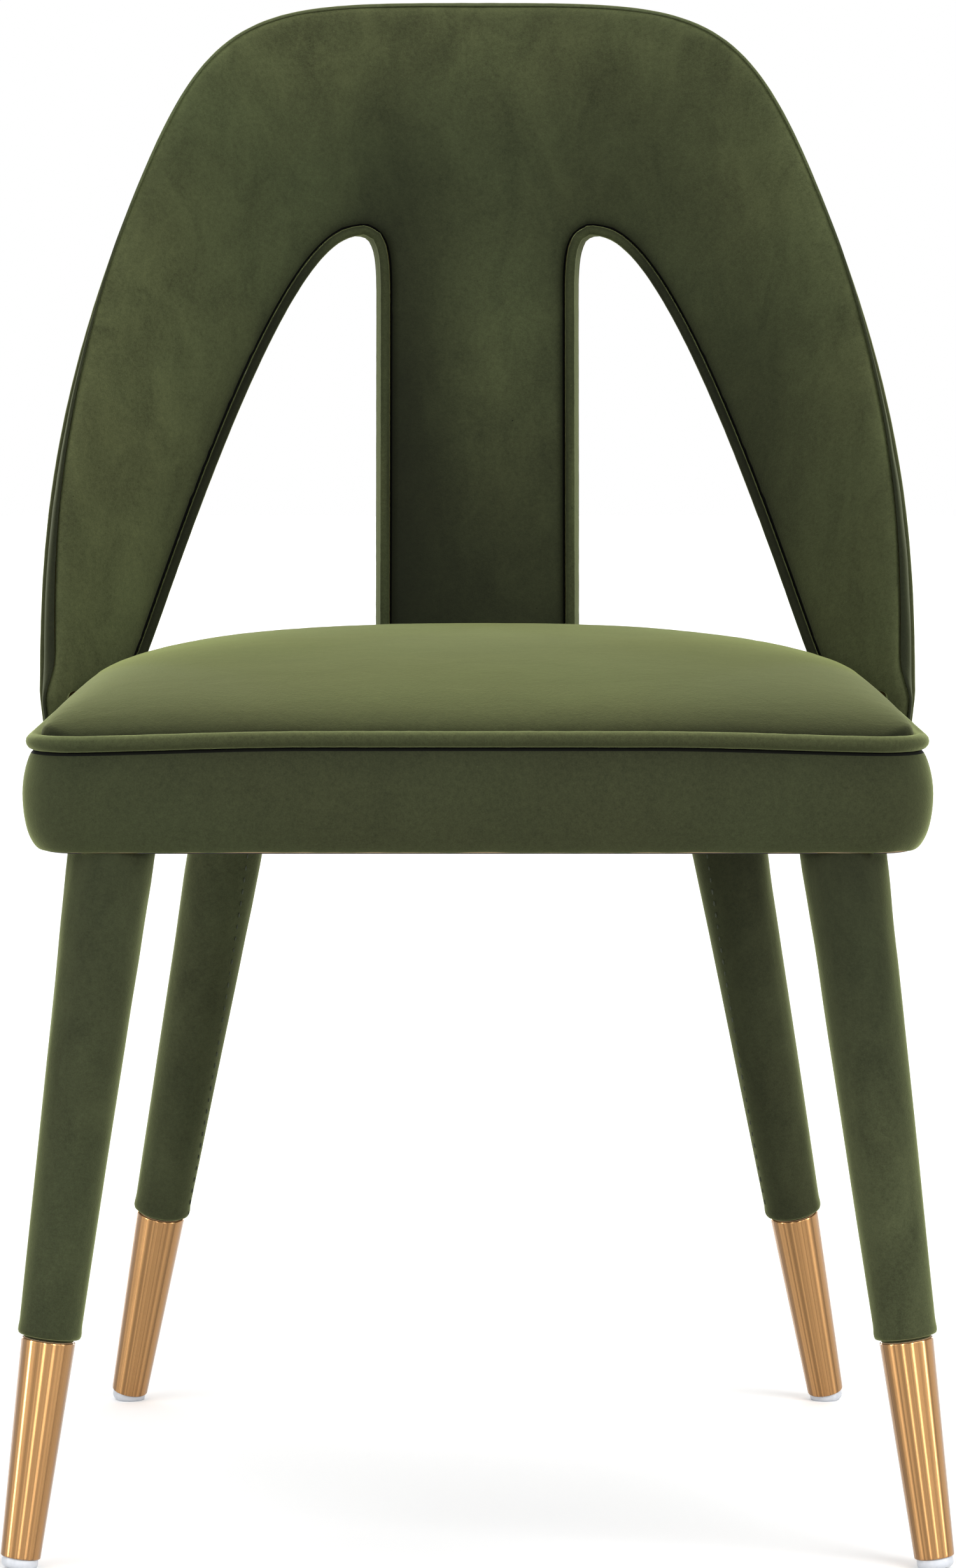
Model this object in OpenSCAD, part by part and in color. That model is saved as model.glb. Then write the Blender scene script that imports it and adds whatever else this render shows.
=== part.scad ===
// Upholstered dining chair with an arched, barrel-curved back, two keyhole
// openings either side of a central splat, and tapered legs with metal ferrules.
// Millimetres. +Z is up and the chair faces -Y. The origin lies on the floor,
// in the middle of the chair's overall width and depth.

/* [Seat] */
// Width of the seat at the fullest part of its side band
seat_w = 485; // [440:1:520]
// Depth from the front of the side band to the face of the back
seat_depth = 447; // [410:1:480]
// Height of the underside of the seat frame
seat_bottom_z = 383; // [350:1:410]
// Height of the side band, from the underside to the piped seam
band_h = 57; // [48:1:70]
// Rise of the cushion's crown above the piped seam
crown_h = 37; // [30:1:55]
// Radius of the two front corners of the seat
corner_r = 34; // [20:1:50]
// How much each side draws in from the front corner to the back
side_taper = 8; // [0:1:16]
// How far the band swells out between its seams
band_bulge = 5; // [3:0.5:8]
// Diameter of the piping round the seat
seat_piping_d = 8.6; // [6:0.2:10]

/* [Seat frame] */
// Thickness of the wooden rails
rail_t = 20; // [16:1:26]
// Depth of padding between the rails and the widest part of the band
band_pad_t = 10; // [8:0.5:14]
// Wood left between a leg bolt's washer and the end of its corner block
block_edge = 12; // [8:1:20]
// Height of the corner blocks
block_h = 38; // [28:1:42]
// Width of one elastic strap
strap_w = 50; // [30:1:56]
// Thickness of one elastic strap
strap_t = 1.8; // [1:0.1:2.5]
// Number of straps each way
strap_n = 4; // [3:1:5]

/* [Back] */
// Overall height of the chair
chair_h = 849; // [800:1:900]
// How much further out than the seat the back stands on each side, just above it
back_over = 13.5; // [8:0.5:24]
// Radius of the barrel curve, at the face of the padding
barrel_r = 325; // [300:1:380]
// Backward lean of the back, in degrees
lean = 10.5; // [6:0.5:14]
// How far in from the back's widest point each shoulder lies, where the arch turns down
shoulder_in = 54; // [44:1:66]
// Depth of the shoulder below the top
shoulder_drop = 109; // [95:1:125]
// How far in from each shoulder the arch's top runs level
crest_in = 70; // [55:1:100]
// Half width of the splat between the two openings
splat_half_w = 61.5; // [50:0.5:75]
// Depth of the top of each opening below the top of the back
slot_drop = 142; // [125:1:170]
// Width of each wing beside the outer foot of its opening
wing_w = 62; // [56:1:76]
// Diameter of the piping round the openings and the rear edge
back_piping_d = 5; // [4:0.2:6]

/* [Back layers] */
// Thickness of the velvet
velvet_t = 1.6; // [1:0.1:2]
// Thickness of the foam on the face of the back
face_foam_t = 10; // [6:0.5:16]
// Thickness of the moulded plywood shell
ply_t = 10; // [8:0.5:14]
// Thickness of the wadding behind the shell
wadding_t = 3; // [2:0.5:6]

/* [Legs] */
// Distance between the outermost edges of the feet
feet_w = 510; // [470:1:540]
// Distance from the front of the band to the centre of a front foot
front_foot_in = 12; // [5:1:40]
// Distance from the face of the back to the centre of a rear foot, behind it
rear_foot_out = 35; // [15:1:50]
// How much closer to the middle each rear foot stands
rear_foot_in = 31; // [20:1:45]
// Angle at which a front leg leans in towards the middle as it rises, in degrees
front_splay = 7.5; // [4:0.5:9]
// Angle at which a front leg leans back as it rises, in degrees
front_rake = 3; // [0:0.5:5]
// Angle at which a rear leg leans in towards the middle as it rises, in degrees
rear_splay = 10.5; // [8:0.5:12]
// Angle at which a rear leg leans forward as it rises, in degrees
rear_rake = 12; // [10:0.5:14]
// Diameter of a leg at the underside of the seat
leg_top_d = 46; // [40:1:54]
// Diameter of the velvet sleeve where it meets the ferrule
sleeve_bottom_d = 33; // [30:0.5:38]
// Diameter of the ferrule at its upper end
ferrule_top_d = 28.9; // [26:0.1:32]
// Diameter of the ferrule at its lower end
ferrule_bottom_d = 21.5; // [18:0.1:25]
// Length of the ferrule
ferrule_l = 119; // [80:1:150]
// Wall of the ferrule
ferrule_wall = 1.2; // [0.8:0.1:2]
// Height of the glide on the leg's axis
glide_h = 6; // [5:0.5:9]
// Diameter of the glide
glide_d = 19.6; // [15:0.1:20.4]

/* [Fastenings] */
// Diameter of the bolts that hold the legs
leg_bolt_d = 8; // [6:1:10]
// Length of leg bolt inside the leg
leg_bolt_grip = 45; // [30:1:60]
// Diameter of the bolts and screws that hold the back
back_bolt_d = 6; // [5:1:8]
// Angle between neighbouring back bolts, in degrees
back_bolt_step = 12; // [8:1:14]
// Diameter of the small wood screws
screw_d = 4; // [3:0.5:5]

/* [Hidden] */

$fn = 48;
eps = 0.01;
far = 1200;

// Clearances
soft_gap = 0.3;
fit_gap = 0.15;

// Colours
velvet = "#5c6640";
dark_velvet = "#4b5436";
beech = "#d8b98a";
plywood = "#c9a36b";
foam = "#efe6c4";
wadding = "#f2f0ea";
webbing = "#3a3a3c";
cloth = "#26272a";
brass = "#c59a5f";
steel = "#a9adb3";
plastic = "#e6e8ec";

// Heights
seat_line_z = seat_bottom_z + band_h;
crown_z = seat_line_z + crown_h;
rail_drop = 5;
rail_top_z = seat_line_z - rail_drop;
cushion_z = rail_top_z + 2 * strap_t + 2 * soft_gap;
block_top_z = seat_bottom_z + block_h;

// The back's layers, as radii measured square to the leaning barrel axis
face_r = barrel_r;
face_foam_r = face_r + velvet_t + soft_gap;
ply_r = face_foam_r + face_foam_t + soft_gap;
wadding_r = ply_r + ply_t + soft_gap;
rear_cover_r = wadding_r + wadding_t + soft_gap;
rear_r = rear_cover_r + velvet_t;

// Piping on the back lies this far inside each edge
bead = back_piping_d / 2;
bead_in = bead + soft_gap;
layer_in = 2 * bead_in + soft_gap;
face_in = layer_in - velvet_t - soft_gap;
border_front_r = face_r + back_piping_d + 2 * soft_gap;
border_rear_r = rear_r - back_piping_d - 2 * soft_gap;

// Depth, from the band's front to the rear piping at the top of the back.
// The origin lies halfway between the two.
overall_depth = seat_depth + (chair_h - seat_line_z - bead_in) * tan(lean)
    + (rear_r - face_r - bead_in) / cos(lean) + bead * cos(lean);
front_y = -overall_depth / 2;
face_y = front_y + seat_depth;
barrel_y = face_y - face_r / cos(lean);
rear_y = overall_depth / 2;

// Widths
half_w = seat_w / 2;
back_half_w = half_w + back_over;
shoulder_x = back_half_w - shoulder_in;
rail_inset = band_pad_t;
piping_inset = seat_piping_d / 2 + band_bulge / 2;
wing_gap = 1;

// ---------------------------------------------------------------- curves

// A point on a cubic curve with four control points
function bez_at(p, t) = pow(1 - t, 3) * p[0] + 3 * pow(1 - t, 2) * t * p[1]
    + 3 * (1 - t) * t * t * p[2] + pow(t, 3) * p[3];

// n points along a cubic curve, without its last point
function bez(p, n) = [for (i = [0 : n - 1]) bez_at(p, i / n)];

// n points along a straight line, without its last point
function line(a, b, n) = [for (i = [0 : n - 1]) a + (b - a) * i / n];

// n + 1 points along an arc
function arc(c, r, a0, a1, n) = [for (i = [0 : n]) let (a = a0 + (a1 - a0) * i / n) c + r * [cos(a), sin(a)]];

function mirrored(p) = [for (i = [len(p) - 1 : -1 : 0]) [-p[i][0], p[i][1]]];
function unit(v) = v / norm(v);

// The step from point i that moves a plane path 1 mm to its right, with its corners kept square
function side_step(p, i, closed) = let (
    n = len(p),
    before = closed || i > 0 ? unit(p[i] - p[(i + n - 1) % n]) : unit(p[1] - p[0]),
    after = closed || i < n - 1 ? unit(p[(i + 1) % n] - p[i]) : before,
    t = unit(before + after)) [t[1], -t[0]] / max(t * before, 0.5);

// A plane path moved d to its right
function shifted(p, d, closed) = [for (i = [0 : len(p) - 1]) p[i] + d * side_step(p, i, closed)];

// ---------------------------------------------------------------- outlines

// Right half of the arch seen from the front, from the crest to the underside.
// The angle is how steeply it falls at the shoulder, and the pulls are the curve's handles.
shoulder_fall = 68.6;
shoulder_pull_in = 115;
shoulder_pull_out = 148;
wing_pull = 75;
wing_tuck = 12;
wing_x = side_x(on_barrel([half_w - side_taper, seat_bottom_z], face_r)[1]) + wing_gap;
shoulder = [shoulder_x, chair_h - shoulder_drop];
shoulder_dir = [cos(shoulder_fall), -sin(shoulder_fall)];
wing_waist = [back_half_w, seat_line_z];
wing_end = [wing_x + wing_tuck, seat_bottom_z];
function arch_half() = concat(
    bez([[0, chair_h], [shoulder_x - crest_in, chair_h], shoulder - shoulder_pull_in * shoulder_dir,
        shoulder], 14),
    bez([shoulder, shoulder + shoulder_pull_out * shoulder_dir, wing_waist + [0, wing_pull], wing_waist], 14),
    line(wing_waist, wing_end, 3),
    [wing_end]);

// The arch's outline moved inwards by d, with its ends kept on the underside
function arch_right(d) = let (p = shifted(arch_half(), d, false), n = len(p) - 1)
    [for (i = [0 : n]) i == n ? [p[i][0], seat_bottom_z] : p[i]];
function arch(d) = concat(mirrored(arch_right(d)), [for (i = [1 : len(arch_right(d)) - 1]) arch_right(d)[i]]);

// The right-hand opening seen from the front, running clockwise from its inner foot.
// It rises along the splat, turns over a narrow crest and falls in a long curve to the knee.
slot_turn_h = 35;
slot_turn_w = 10.5;
slot_turn_pull = [7, 29];
slot_crest_pull = 44;
slot_knee_h = 24;
slot_knee_pull = [-14.5, 39];
slot_heel = [5.5, -15];
slot_top_z = chair_h - slot_drop;
slot_toe = [splat_half_w, seat_line_z + slot_knee_h + slot_heel[1]];
slot_turn = [splat_half_w, slot_top_z - slot_turn_h];
slot_crest = [splat_half_w + slot_turn_w, slot_top_z];
slot_knee = [back_half_w - wing_w, seat_line_z + slot_knee_h];
function slot_loop() = concat(
    line(slot_toe, slot_turn, 6),
    bez([slot_turn, slot_turn + [0, slot_turn_pull[1]], slot_crest - [slot_turn_pull[0], 0], slot_crest], 7),
    bez([slot_crest, slot_crest + [slot_crest_pull, 0], slot_knee + slot_knee_pull, slot_knee], 16),
    line(slot_knee, slot_knee + slot_heel, 2),
    line(slot_knee + slot_heel, slot_toe, 5));

// The opening grown outwards by d
function slot(d) = shifted(slot_loop(), -d, true);

// Seat seen from above, drawn in by d. Its rear is cut to the barrel of the back.
function side_x(y) = half_w - side_taper * (y - front_y) / seat_depth;
function seat_right(d) = let (
    r = max(corner_r - d, 2),
    c = [side_x(front_y + corner_r) - corner_r, front_y + corner_r]) concat(
    arc(c, r, -90, 0, 8),
    [[side_x(face_y + far / 8) - d, face_y + far / 8]]);
function seat_plan(d) = concat(seat_right(d), mirrored(seat_right(d)));

// ---------------------------------------------------------------- barrel

// Where the barrel of radius r passes over the point (x, z) of the front view
function on_barrel(p, r) = [p[0],
    barrel_y + (p[1] - seat_line_z) * tan(lean) + sqrt(r * r - p[0] * p[0]) / cos(lean), p[1]];
function barrel_normal(p, r) = [p[0] / r,
    sqrt(r * r - p[0] * p[0]) / r * cos(lean), -sqrt(r * r - p[0] * p[0]) / r * sin(lean)];

// Puts its children in the barrel's leaning frame, with the seat line at height 0
module in_barrel() {
    translate([0, barrel_y, seat_line_z]) rotate([-lean, 0, 0]) children();
}

module barrel(r) {
    in_barrel() cylinder(h = far, r = r, center = true, $fn = 128);
}

// The zone between two radii of the barrel, under an outline seen from the front
module barrel_layer(r0, r1, points) {
    intersection() {
        difference() {
            barrel(r1);
            barrel(r0);
        }
        front_view(points);
    }
}

// An outline seen from the front, run through the rear half of the chair
module front_view(points) {
    translate([0, rear_y + 20, 0]) rotate([90, 0, 0])
        linear_extrude(height = rear_y + 20) polygon(points);
}

// A round cord along a path, with a reference direction at each point
module cord(path, refs, r, closed, sides = 8) {
    n = len(path);
    rings = [for (i = [0 : n - 1]) let (
        a = closed ? path[(i + n - 1) % n] : path[max(i - 1, 0)],
        b = closed ? path[(i + 1) % n] : path[min(i + 1, n - 1)],
        t = unit(b - a),
        v = unit(cross(t, refs[i])),
        u = cross(v, t))
        for (k = [0 : sides - 1]) path[i] + r * (cos(360 * k / sides) * u + sin(360 * k / sides) * v)];
    spans = closed ? n : n - 1;
    walls = [for (i = [0 : spans - 1]) for (k = [0 : sides - 1])
        [i * sides + k, ((i + 1) % n) * sides + k,
            ((i + 1) % n) * sides + (k + 1) % sides, i * sides + (k + 1) % sides]];
    ends = closed ? [] : [
        [for (k = [0 : sides - 1]) k],
        [for (k = [sides - 1 : -1 : 0]) (n - 1) * sides + k]];
    polyhedron(points = rings, faces = concat(walls, ends), convexity = 6);
}

// A cord that lies on the barrel at radius r, along a path seen from the front
module barrel_cord(points, r, closed) {
    cord([for (p = points) on_barrel(p, r)], [for (p = points) barrel_normal(p, r)], bead, closed);
}

// ---------------------------------------------------------------- legs

// Leg i: side (-1 left, 1 right) and whether it is a rear leg
LEGS = [[-1, false], [1, false], [-1, true], [1, true]];

foot_x = (feet_w - ferrule_bottom_d) / 2;

function leg_foot(i) = [LEGS[i][0] * (foot_x - (LEGS[i][1] ? rear_foot_in : 0)),
    LEGS[i][1] ? face_y + rear_foot_out : front_y + front_foot_in, 0];
function leg_slope(i) = LEGS[i][1]
    ? [-LEGS[i][0] * tan(rear_splay), -tan(rear_rake), 1]
    : [-LEGS[i][0] * tan(front_splay), tan(front_rake), 1];
function leg_tilt(i) = acos(1 / norm(leg_slope(i)));
function leg_turn(i) = atan2(leg_slope(i)[1], leg_slope(i)[0]);
function leg_len(i) = seat_bottom_z * norm(leg_slope(i));

ferrule_s0 = glide_h;
ferrule_s1 = glide_h + ferrule_l;

// Puts its children on leg i's axis, with the floor at 0 and without twist
module on_leg(i) {
    translate(leg_foot(i)) rotate([0, leg_tilt(i), leg_turn(i)]) rotate([0, 0, -leg_turn(i)]) children();
}

// Keeps what lies between two heights
module between(z0, z1) {
    intersection() {
        children();
        translate([-far / 2, -far / 2, z0]) cube([far, far, z1 - z0]);
    }
}

// A cone on the leg's axis from s0 to s1, with its end diameters
module cone(s0, s1, d0, d1) {
    translate([0, 0, s0]) cylinder(h = s1 - s0, d1 = d0, d2 = d1, $fn = 64);
}

core_gap_d = 2 * (velvet_t + fit_gap);
function taper(i) = (leg_top_d - sleeve_bottom_d) / (leg_len(i) - ferrule_s1);
function sleeve_d(i, s) = sleeve_bottom_d + (s - ferrule_s1) * taper(i);
leg_over = 20;

module leg_core(i) {
    inner = 2 * (ferrule_wall + fit_gap);
    color(beech) between(0, seat_bottom_z) difference() {
        on_leg(i) union() {
            cone(ferrule_s0 + fit_gap, ferrule_s1 + eps, ferrule_bottom_d - inner, ferrule_top_d - inner);
            cone(ferrule_s1, leg_len(i) + leg_over, sleeve_bottom_d - core_gap_d,
                sleeve_d(i, leg_len(i) + leg_over) - core_gap_d);
        }
        on_leg(i) translate([0, 0, leg_len(i) - leg_bolt_grip - 1])
            cylinder(h = far, d = leg_bolt_d + 2 * fit_gap);
        on_leg(i) cylinder(h = nail_head_s + nail_l + 1, d = nail_d + 2 * fit_gap);
    }
}

module leg_sleeve(i) {
    color(velvet) between(0, seat_bottom_z - soft_gap) difference() {
        on_leg(i) cone(ferrule_s1 + fit_gap, leg_len(i) + leg_over, sleeve_bottom_d,
            sleeve_d(i, leg_len(i) + leg_over));
        on_leg(i) cone(ferrule_s1 - eps, leg_len(i) + leg_over + 1, sleeve_bottom_d - 2 * velvet_t,
            sleeve_d(i, leg_len(i) + leg_over) - 2 * velvet_t);
    }
}

module ferrule(i) {
    color(brass) on_leg(i) difference() {
        cone(ferrule_s0, ferrule_s1, ferrule_bottom_d, ferrule_top_d);
        cone(ferrule_s0 - eps, ferrule_s1 + eps, ferrule_bottom_d - 2 * ferrule_wall,
            ferrule_top_d - 2 * ferrule_wall);
    }
}

nail_d = 3;
nail_l = 18;
nail_head_d = 8;
nail_head_t = 1;
nail_head_s = glide_h / 2;

module glide(i) {
    color(plastic) between(0, far) difference() {
        on_leg(i) cone(-glide_h, glide_h, glide_d, glide_d);
        on_leg(i) cylinder(h = far, d = nail_d + 2 * fit_gap);
        on_leg(i) cone(-glide_h, nail_head_s, nail_head_d + 2 * fit_gap, nail_head_d + 2 * fit_gap);
    }
}

module glide_nails() {
    color(steel) for (i = [0 : 3]) on_leg(i) {
        cone(nail_head_s - nail_head_t, nail_head_s, nail_head_d, nail_head_d);
        cone(nail_head_s - eps, nail_head_s + nail_l, nail_d, nail_d);
    }
}

// ---------------------------------------------------------------- leg bolts

washer_t = 1.6;
washer_d = 2.6 * leg_bolt_d;
nut_h = 0.8 * leg_bolt_d;
nut_af = 1.6 * leg_bolt_d;

// Distance along leg i's axis to the flat seat that its washer stands on
seat_drop = 6;
bolt_end = 2;
function seat_s(i) = (block_top_z - seat_drop) * norm(leg_slope(i));

module leg_bolts() {
    color(steel) for (i = [0 : 3]) on_leg(i)
        translate([0, 0, leg_len(i) - leg_bolt_grip])
            cylinder(h = seat_s(i) + washer_t + nut_h + bolt_end - leg_len(i) + leg_bolt_grip,
                d = leg_bolt_d);
}

module leg_bolt_washers() {
    color(steel) for (i = [0 : 3]) on_leg(i) translate([0, 0, seat_s(i)]) difference() {
        cylinder(h = washer_t, d = washer_d);
        translate([0, 0, -1]) cylinder(h = washer_t + 2, d = leg_bolt_d + 2 * fit_gap);
    }
}

module leg_bolt_nuts() {
    color(steel) for (i = [0 : 3]) on_leg(i) translate([0, 0, seat_s(i) + washer_t]) difference() {
        cylinder(h = nut_h, d = nut_af / cos(30), $fn = 6);
        translate([0, 0, -1]) cylinder(h = nut_h + 2, d = leg_bolt_d + 2 * fit_gap);
    }
}

// ---------------------------------------------------------------- seat frame

// The body of the seat between two heights, drawn in by d, behind which lies radius r
module seat_body(d, z0, z1, r) {
    intersection() {
        translate([0, 0, z0]) linear_extrude(height = z1 - z0) polygon(seat_plan(d));
        barrel(r);
    }
}

// The ring that the rails and blocks share
module frame_ring() {
    difference() {
        seat_body(rail_inset, seat_bottom_z, rail_top_z, ply_r - soft_gap);
        seat_body(rail_inset + rail_t, seat_bottom_z - 1, rail_top_z + 1, ply_r - soft_gap - rail_t);
    }
}

// Each block reaches past its leg bolt's washer by the same edge of wood, and each rear
// block also laps the end of the side rail
block_reach = washer_d / 2 + block_edge;
rear_block_lap = 6;
function leg_at(i, z) = leg_foot(i) + z * leg_slope(i);
front_block_x = leg_at(1, block_top_z)[0] - block_reach;
front_block_y = leg_at(1, block_top_z)[1] + block_reach;
rear_block_x = leg_at(3, block_top_z)[0] - block_reach;
rear_block_y = min(leg_at(3, block_top_z)[1] - block_reach,
    on_barrel([side_x(face_y) - rail_inset, seat_bottom_z], ply_r)[1] - rear_block_lap);

module zone(x0, x1, y0, y1) {
    translate([x0, y0, seat_bottom_z - 1]) cube([x1 - x0, y1 - y0, band_h + 2]);
}

module seat_front_rail() {
    color(beech) difference() {
        intersection() {
            frame_ring();
            zone(-front_block_x, front_block_x, front_y, front_block_y);
        }
        block_screws_at(fit_gap);
    }
}

module seat_rear_rail() {
    color(beech) difference() {
        intersection() {
            frame_ring();
            zone(-rear_block_x, rear_block_x, rear_block_y, rear_y);
        }
        back_bolt_bores();
    }
}

module side_rail(side) {
    color(beech) difference() {
        intersection() {
            frame_ring();
            zone(side > 0 ? 0 : -far / 2, side > 0 ? far / 2 : 0, front_block_y, rear_block_y);
        }
        block_screws_at(fit_gap);
    }
}

module seat_left_rail() { side_rail(-1); }
module seat_right_rail() { side_rail(1); }

// One block per corner, cut to the seat's outline, with a bore on its leg's axis
module corner_block(i) {
    x0 = LEGS[i][1] ? rear_block_x : front_block_x;
    y0 = LEGS[i][1] ? rear_block_y : front_y;
    y1 = LEGS[i][1] ? rear_y : front_block_y;
    difference() {
        intersection() {
            seat_body(rail_inset, seat_bottom_z, block_top_z, ply_r - soft_gap);
            zone(LEGS[i][0] > 0 ? x0 : -far / 2, LEGS[i][0] > 0 ? far / 2 : -x0, y0, y1);
        }
        on_leg(i) translate([0, 0, leg_len(i) - leg_bolt_grip])
            cylinder(h = far, d = leg_bolt_d + 2 * fit_gap);
        on_leg(i) translate([0, 0, seat_s(i)]) cylinder(h = far, d = washer_d + 2);
        back_screw_bores();
        block_screws_at(fit_gap);
    }
}

module seat_corner_blocks() {
    color(beech) for (i = [0 : 3]) corner_block(i);
}

// Screws that run from each front block into the ends of the two rails beside it
block_screw_l = 40;
block_screw_up = 9;
block_screw_z = seat_bottom_z + block_h / 2;
front_screw_y = front_y + rail_inset + rail_t / 2;
side_screw_x = side_x(front_block_y) - rail_inset - rail_t / 2;

module block_screws_at(grow) {
    for (side = [-1, 1]) for (up = [-block_screw_up, block_screw_up]) {
        translate([side * (front_block_x + block_screw_l / 2), front_screw_y, block_screw_z + up])
            rotate([0, -side * 90, 0]) cylinder(h = block_screw_l, d = screw_d + 2 * grow);
        translate([side * side_screw_x, front_block_y - block_screw_l / 2, block_screw_z + up])
            rotate([-90, 0, 0]) cylinder(h = block_screw_l, d = screw_d + 2 * grow);
    }
}

module seat_block_screws() {
    color(steel) block_screws_at(0);
}

// ---------------------------------------------------------------- seat inside

// Where the straps may lie: over the rails, clear of the band
strap_in = 4;

module strap(x0, y0, w, d, z0) {
    intersection() {
        seat_body(rail_inset + strap_in, z0, z0 + strap_t, face_r - soft_gap);
        translate([x0, y0, rail_top_z - 1]) cube([w, d, 4 * strap_t]);
    }
}

module seat_webbing() {
    span_x = 2 * (half_w - rail_inset - rail_t) - side_taper;
    span_y = seat_depth - rail_inset - 2 * rail_t;
    step_x = span_x / strap_n;
    step_y = span_y / strap_n;
    back_y = front_y + rail_inset + rail_t;
    upper_z = rail_top_z + strap_t + soft_gap;
    color(webbing) for (k = [0 : strap_n - 1]) {
        strap((k + 0.5) * step_x - span_x / 2 - strap_w / 2, front_y, strap_w, far, rail_top_z);
        strap(-far / 2, back_y + (k + 0.5) * step_y - strap_w / 2, far, strap_w, upper_z);
    }
}

// The crown's levels: share of its rise, and how far in from the seam it has drawn by then
CROWN = [[0.25, 1], [0.46, 5], [0.64, 14], [0.77, 28], [0.88, 50], [0.95, 82], [0.985, 122], [1, 165]];
level_t = 0.5;

// The plan of one level of the crown, which stays full at the rear
function seat_crown_plan(d) = let (
    r = max(corner_r - d / 3, corner_r / 5),
    x = side_x(front_y + corner_r) - d,
    y = front_y + d) concat(
    arc([x - r, y + r], r, -90, 0, 5),
    [[side_x(face_y) - d, face_y + rail_t]]);
function crown_plan(d) = concat(seat_crown_plan(d), mirrored(seat_crown_plan(d)));

cushion_in = piping_inset + seat_piping_d / 2 + soft_gap;

// A thin slice of a plan at height z
module slice(points, z) {
    translate([0, 0, z]) linear_extrude(height = level_t) polygon(points);
}

// The cushion as one convex solid, drawn in by inset and top high above the seam
module crown_solid(inset, top, base_z) {
    intersection() {
        hull() {
            slice(crown_plan(cushion_in + inset), base_z);
            for (c = CROWN) slice(crown_plan(cushion_in + inset + c[1]), seat_line_z + c[0] * top - level_t);
        }
        barrel(face_r - soft_gap - inset);
    }
}

module seat_foam() {
    color(foam) crown_solid(velvet_t + soft_gap, crown_h - velvet_t - soft_gap, cushion_z);
}

module seat_top_cover() {
    color(velvet) difference() {
        crown_solid(0, crown_h, cushion_z);
        crown_solid(velvet_t, crown_h - velvet_t, cushion_z);
        slice(crown_plan(cushion_in + velvet_t), cushion_z - level_t / 2);
    }
}

// The band's levels: share of its height, and share of its swell that it has drawn in
BAND = [[0, 1.7], [0.08, 1.25], [0.24, 0.65], [0.48, 0.15], [0.62, 0], [0.8, 0.4], [1, 1]];
band_top_z = seat_line_z - seat_piping_d / 2 - soft_gap;
band_rise = band_top_z - seat_bottom_z - level_t;

module seat_side_band() {
    color(dark_velvet) difference() {
        intersection() {
            hull() for (b = BAND) slice(seat_plan(b[1] * band_bulge), seat_bottom_z + b[0] * band_rise);
            barrel(ply_r - soft_gap);
        }
        seat_body(rail_inset - soft_gap, seat_bottom_z - 1, band_top_z + 1, far);
    }
}

// The piping starts and ends against the face of the back
module seat_piping() {
    d = piping_inset;
    rear = on_barrel([side_x(face_y) - d, seat_line_z], face_r)[1] - seat_piping_d / 2;
    start = [side_x(rear) - d, rear];
    right = concat(arc([side_x(front_y + corner_r) - corner_r, front_y + corner_r], corner_r - d, -90, 0, 10),
        [start]);
    path = concat(mirrored(right), right);
    color(velvet) cord([for (p = path) [p[0], p[1], seat_line_z]], [for (p = path) [0, 0, 1]],
        seat_piping_d / 2, false, 12);
}

// ---------------------------------------------------------------- dust cover

dust_t = 0.8;
dust_in = 3;
leg_hole_gap = 1;

module seat_dust_cover() {
    color(cloth) difference() {
        seat_body(rail_inset + dust_in, seat_bottom_z - dust_t, seat_bottom_z, ply_r - soft_gap - dust_in);
        for (i = [0 : 3]) on_leg(i) cylinder(h = far, d = leg_top_d + 2 * leg_hole_gap);
    }
}

// Staples run along the middle of each rail, and under the rear rail they follow its arc
staple_l = 10;
staple_w = 1.2;
staple_t = 0.6;
staple_pitch = 52;
staple_side_n = 4;
staple_turn = 7;

module staple(x, y, turn) {
    translate([x, y, seat_bottom_z - dust_t - staple_t]) rotate([0, 0, turn])
        translate([-staple_l / 2, -staple_w / 2, 0]) cube([staple_l, staple_w, staple_t]);
}

module dust_cover_staples() {
    r = ply_r - rail_t / 2;
    y0 = front_block_y + staple_pitch / 2;
    color(steel) {
        for (k = [-2.5 : 1 : 2.5]) staple(k * staple_pitch, front_screw_y, 0);
        for (s = [-1, 1]) for (k = [0 : staple_side_n - 1]) let (y = y0 + k * staple_pitch)
            staple(s * (side_x(y) - rail_inset - rail_t / 2), y, 90);
        for (k = [-2 : 2]) let (a = k * staple_turn, p = on_barrel([r * sin(a), seat_bottom_z], r))
            staple(p[0], p[1], -a);
    }
}

// ---------------------------------------------------------------- back

module back_shell() {
    color(plywood) difference() {
        barrel_layer(ply_r, ply_r + ply_t, arch(layer_in));
        both_slots(layer_in);
        back_bolt_bores();
        back_screw_bores();
        back_nut_pockets();
    }
}

// The part of the face that the seat fills, where the padding stops
notch_gap = 3;

module seat_notch() {
    translate([-wing_x, -far / 2, 0]) cube([2 * wing_x, far, seat_line_z + notch_gap]);
}

// The two openings, grown by d, run through what is being cut
module both_slots(d) {
    front_view(slot(d));
    front_view(mirrored(slot(d)));
}

module back_face_foam() {
    color(foam) difference() {
        barrel_layer(face_foam_r, face_foam_r + face_foam_t, arch(layer_in));
        both_slots(layer_in);
        seat_notch();
    }
}

module back_face_cover() {
    color(velvet) difference() {
        barrel_layer(face_r, face_r + velvet_t, arch(face_in));
        both_slots(layer_in);
        seat_notch();
    }
}

module back_rear_wadding() {
    color(wadding) difference() {
        barrel_layer(wadding_r, wadding_r + wadding_t, arch(layer_in));
        both_slots(layer_in);
    }
}

module back_rear_cover() {
    color(velvet) difference() {
        barrel_layer(rear_cover_r, rear_r, arch(layer_in));
        both_slots(layer_in);
    }
}

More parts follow.
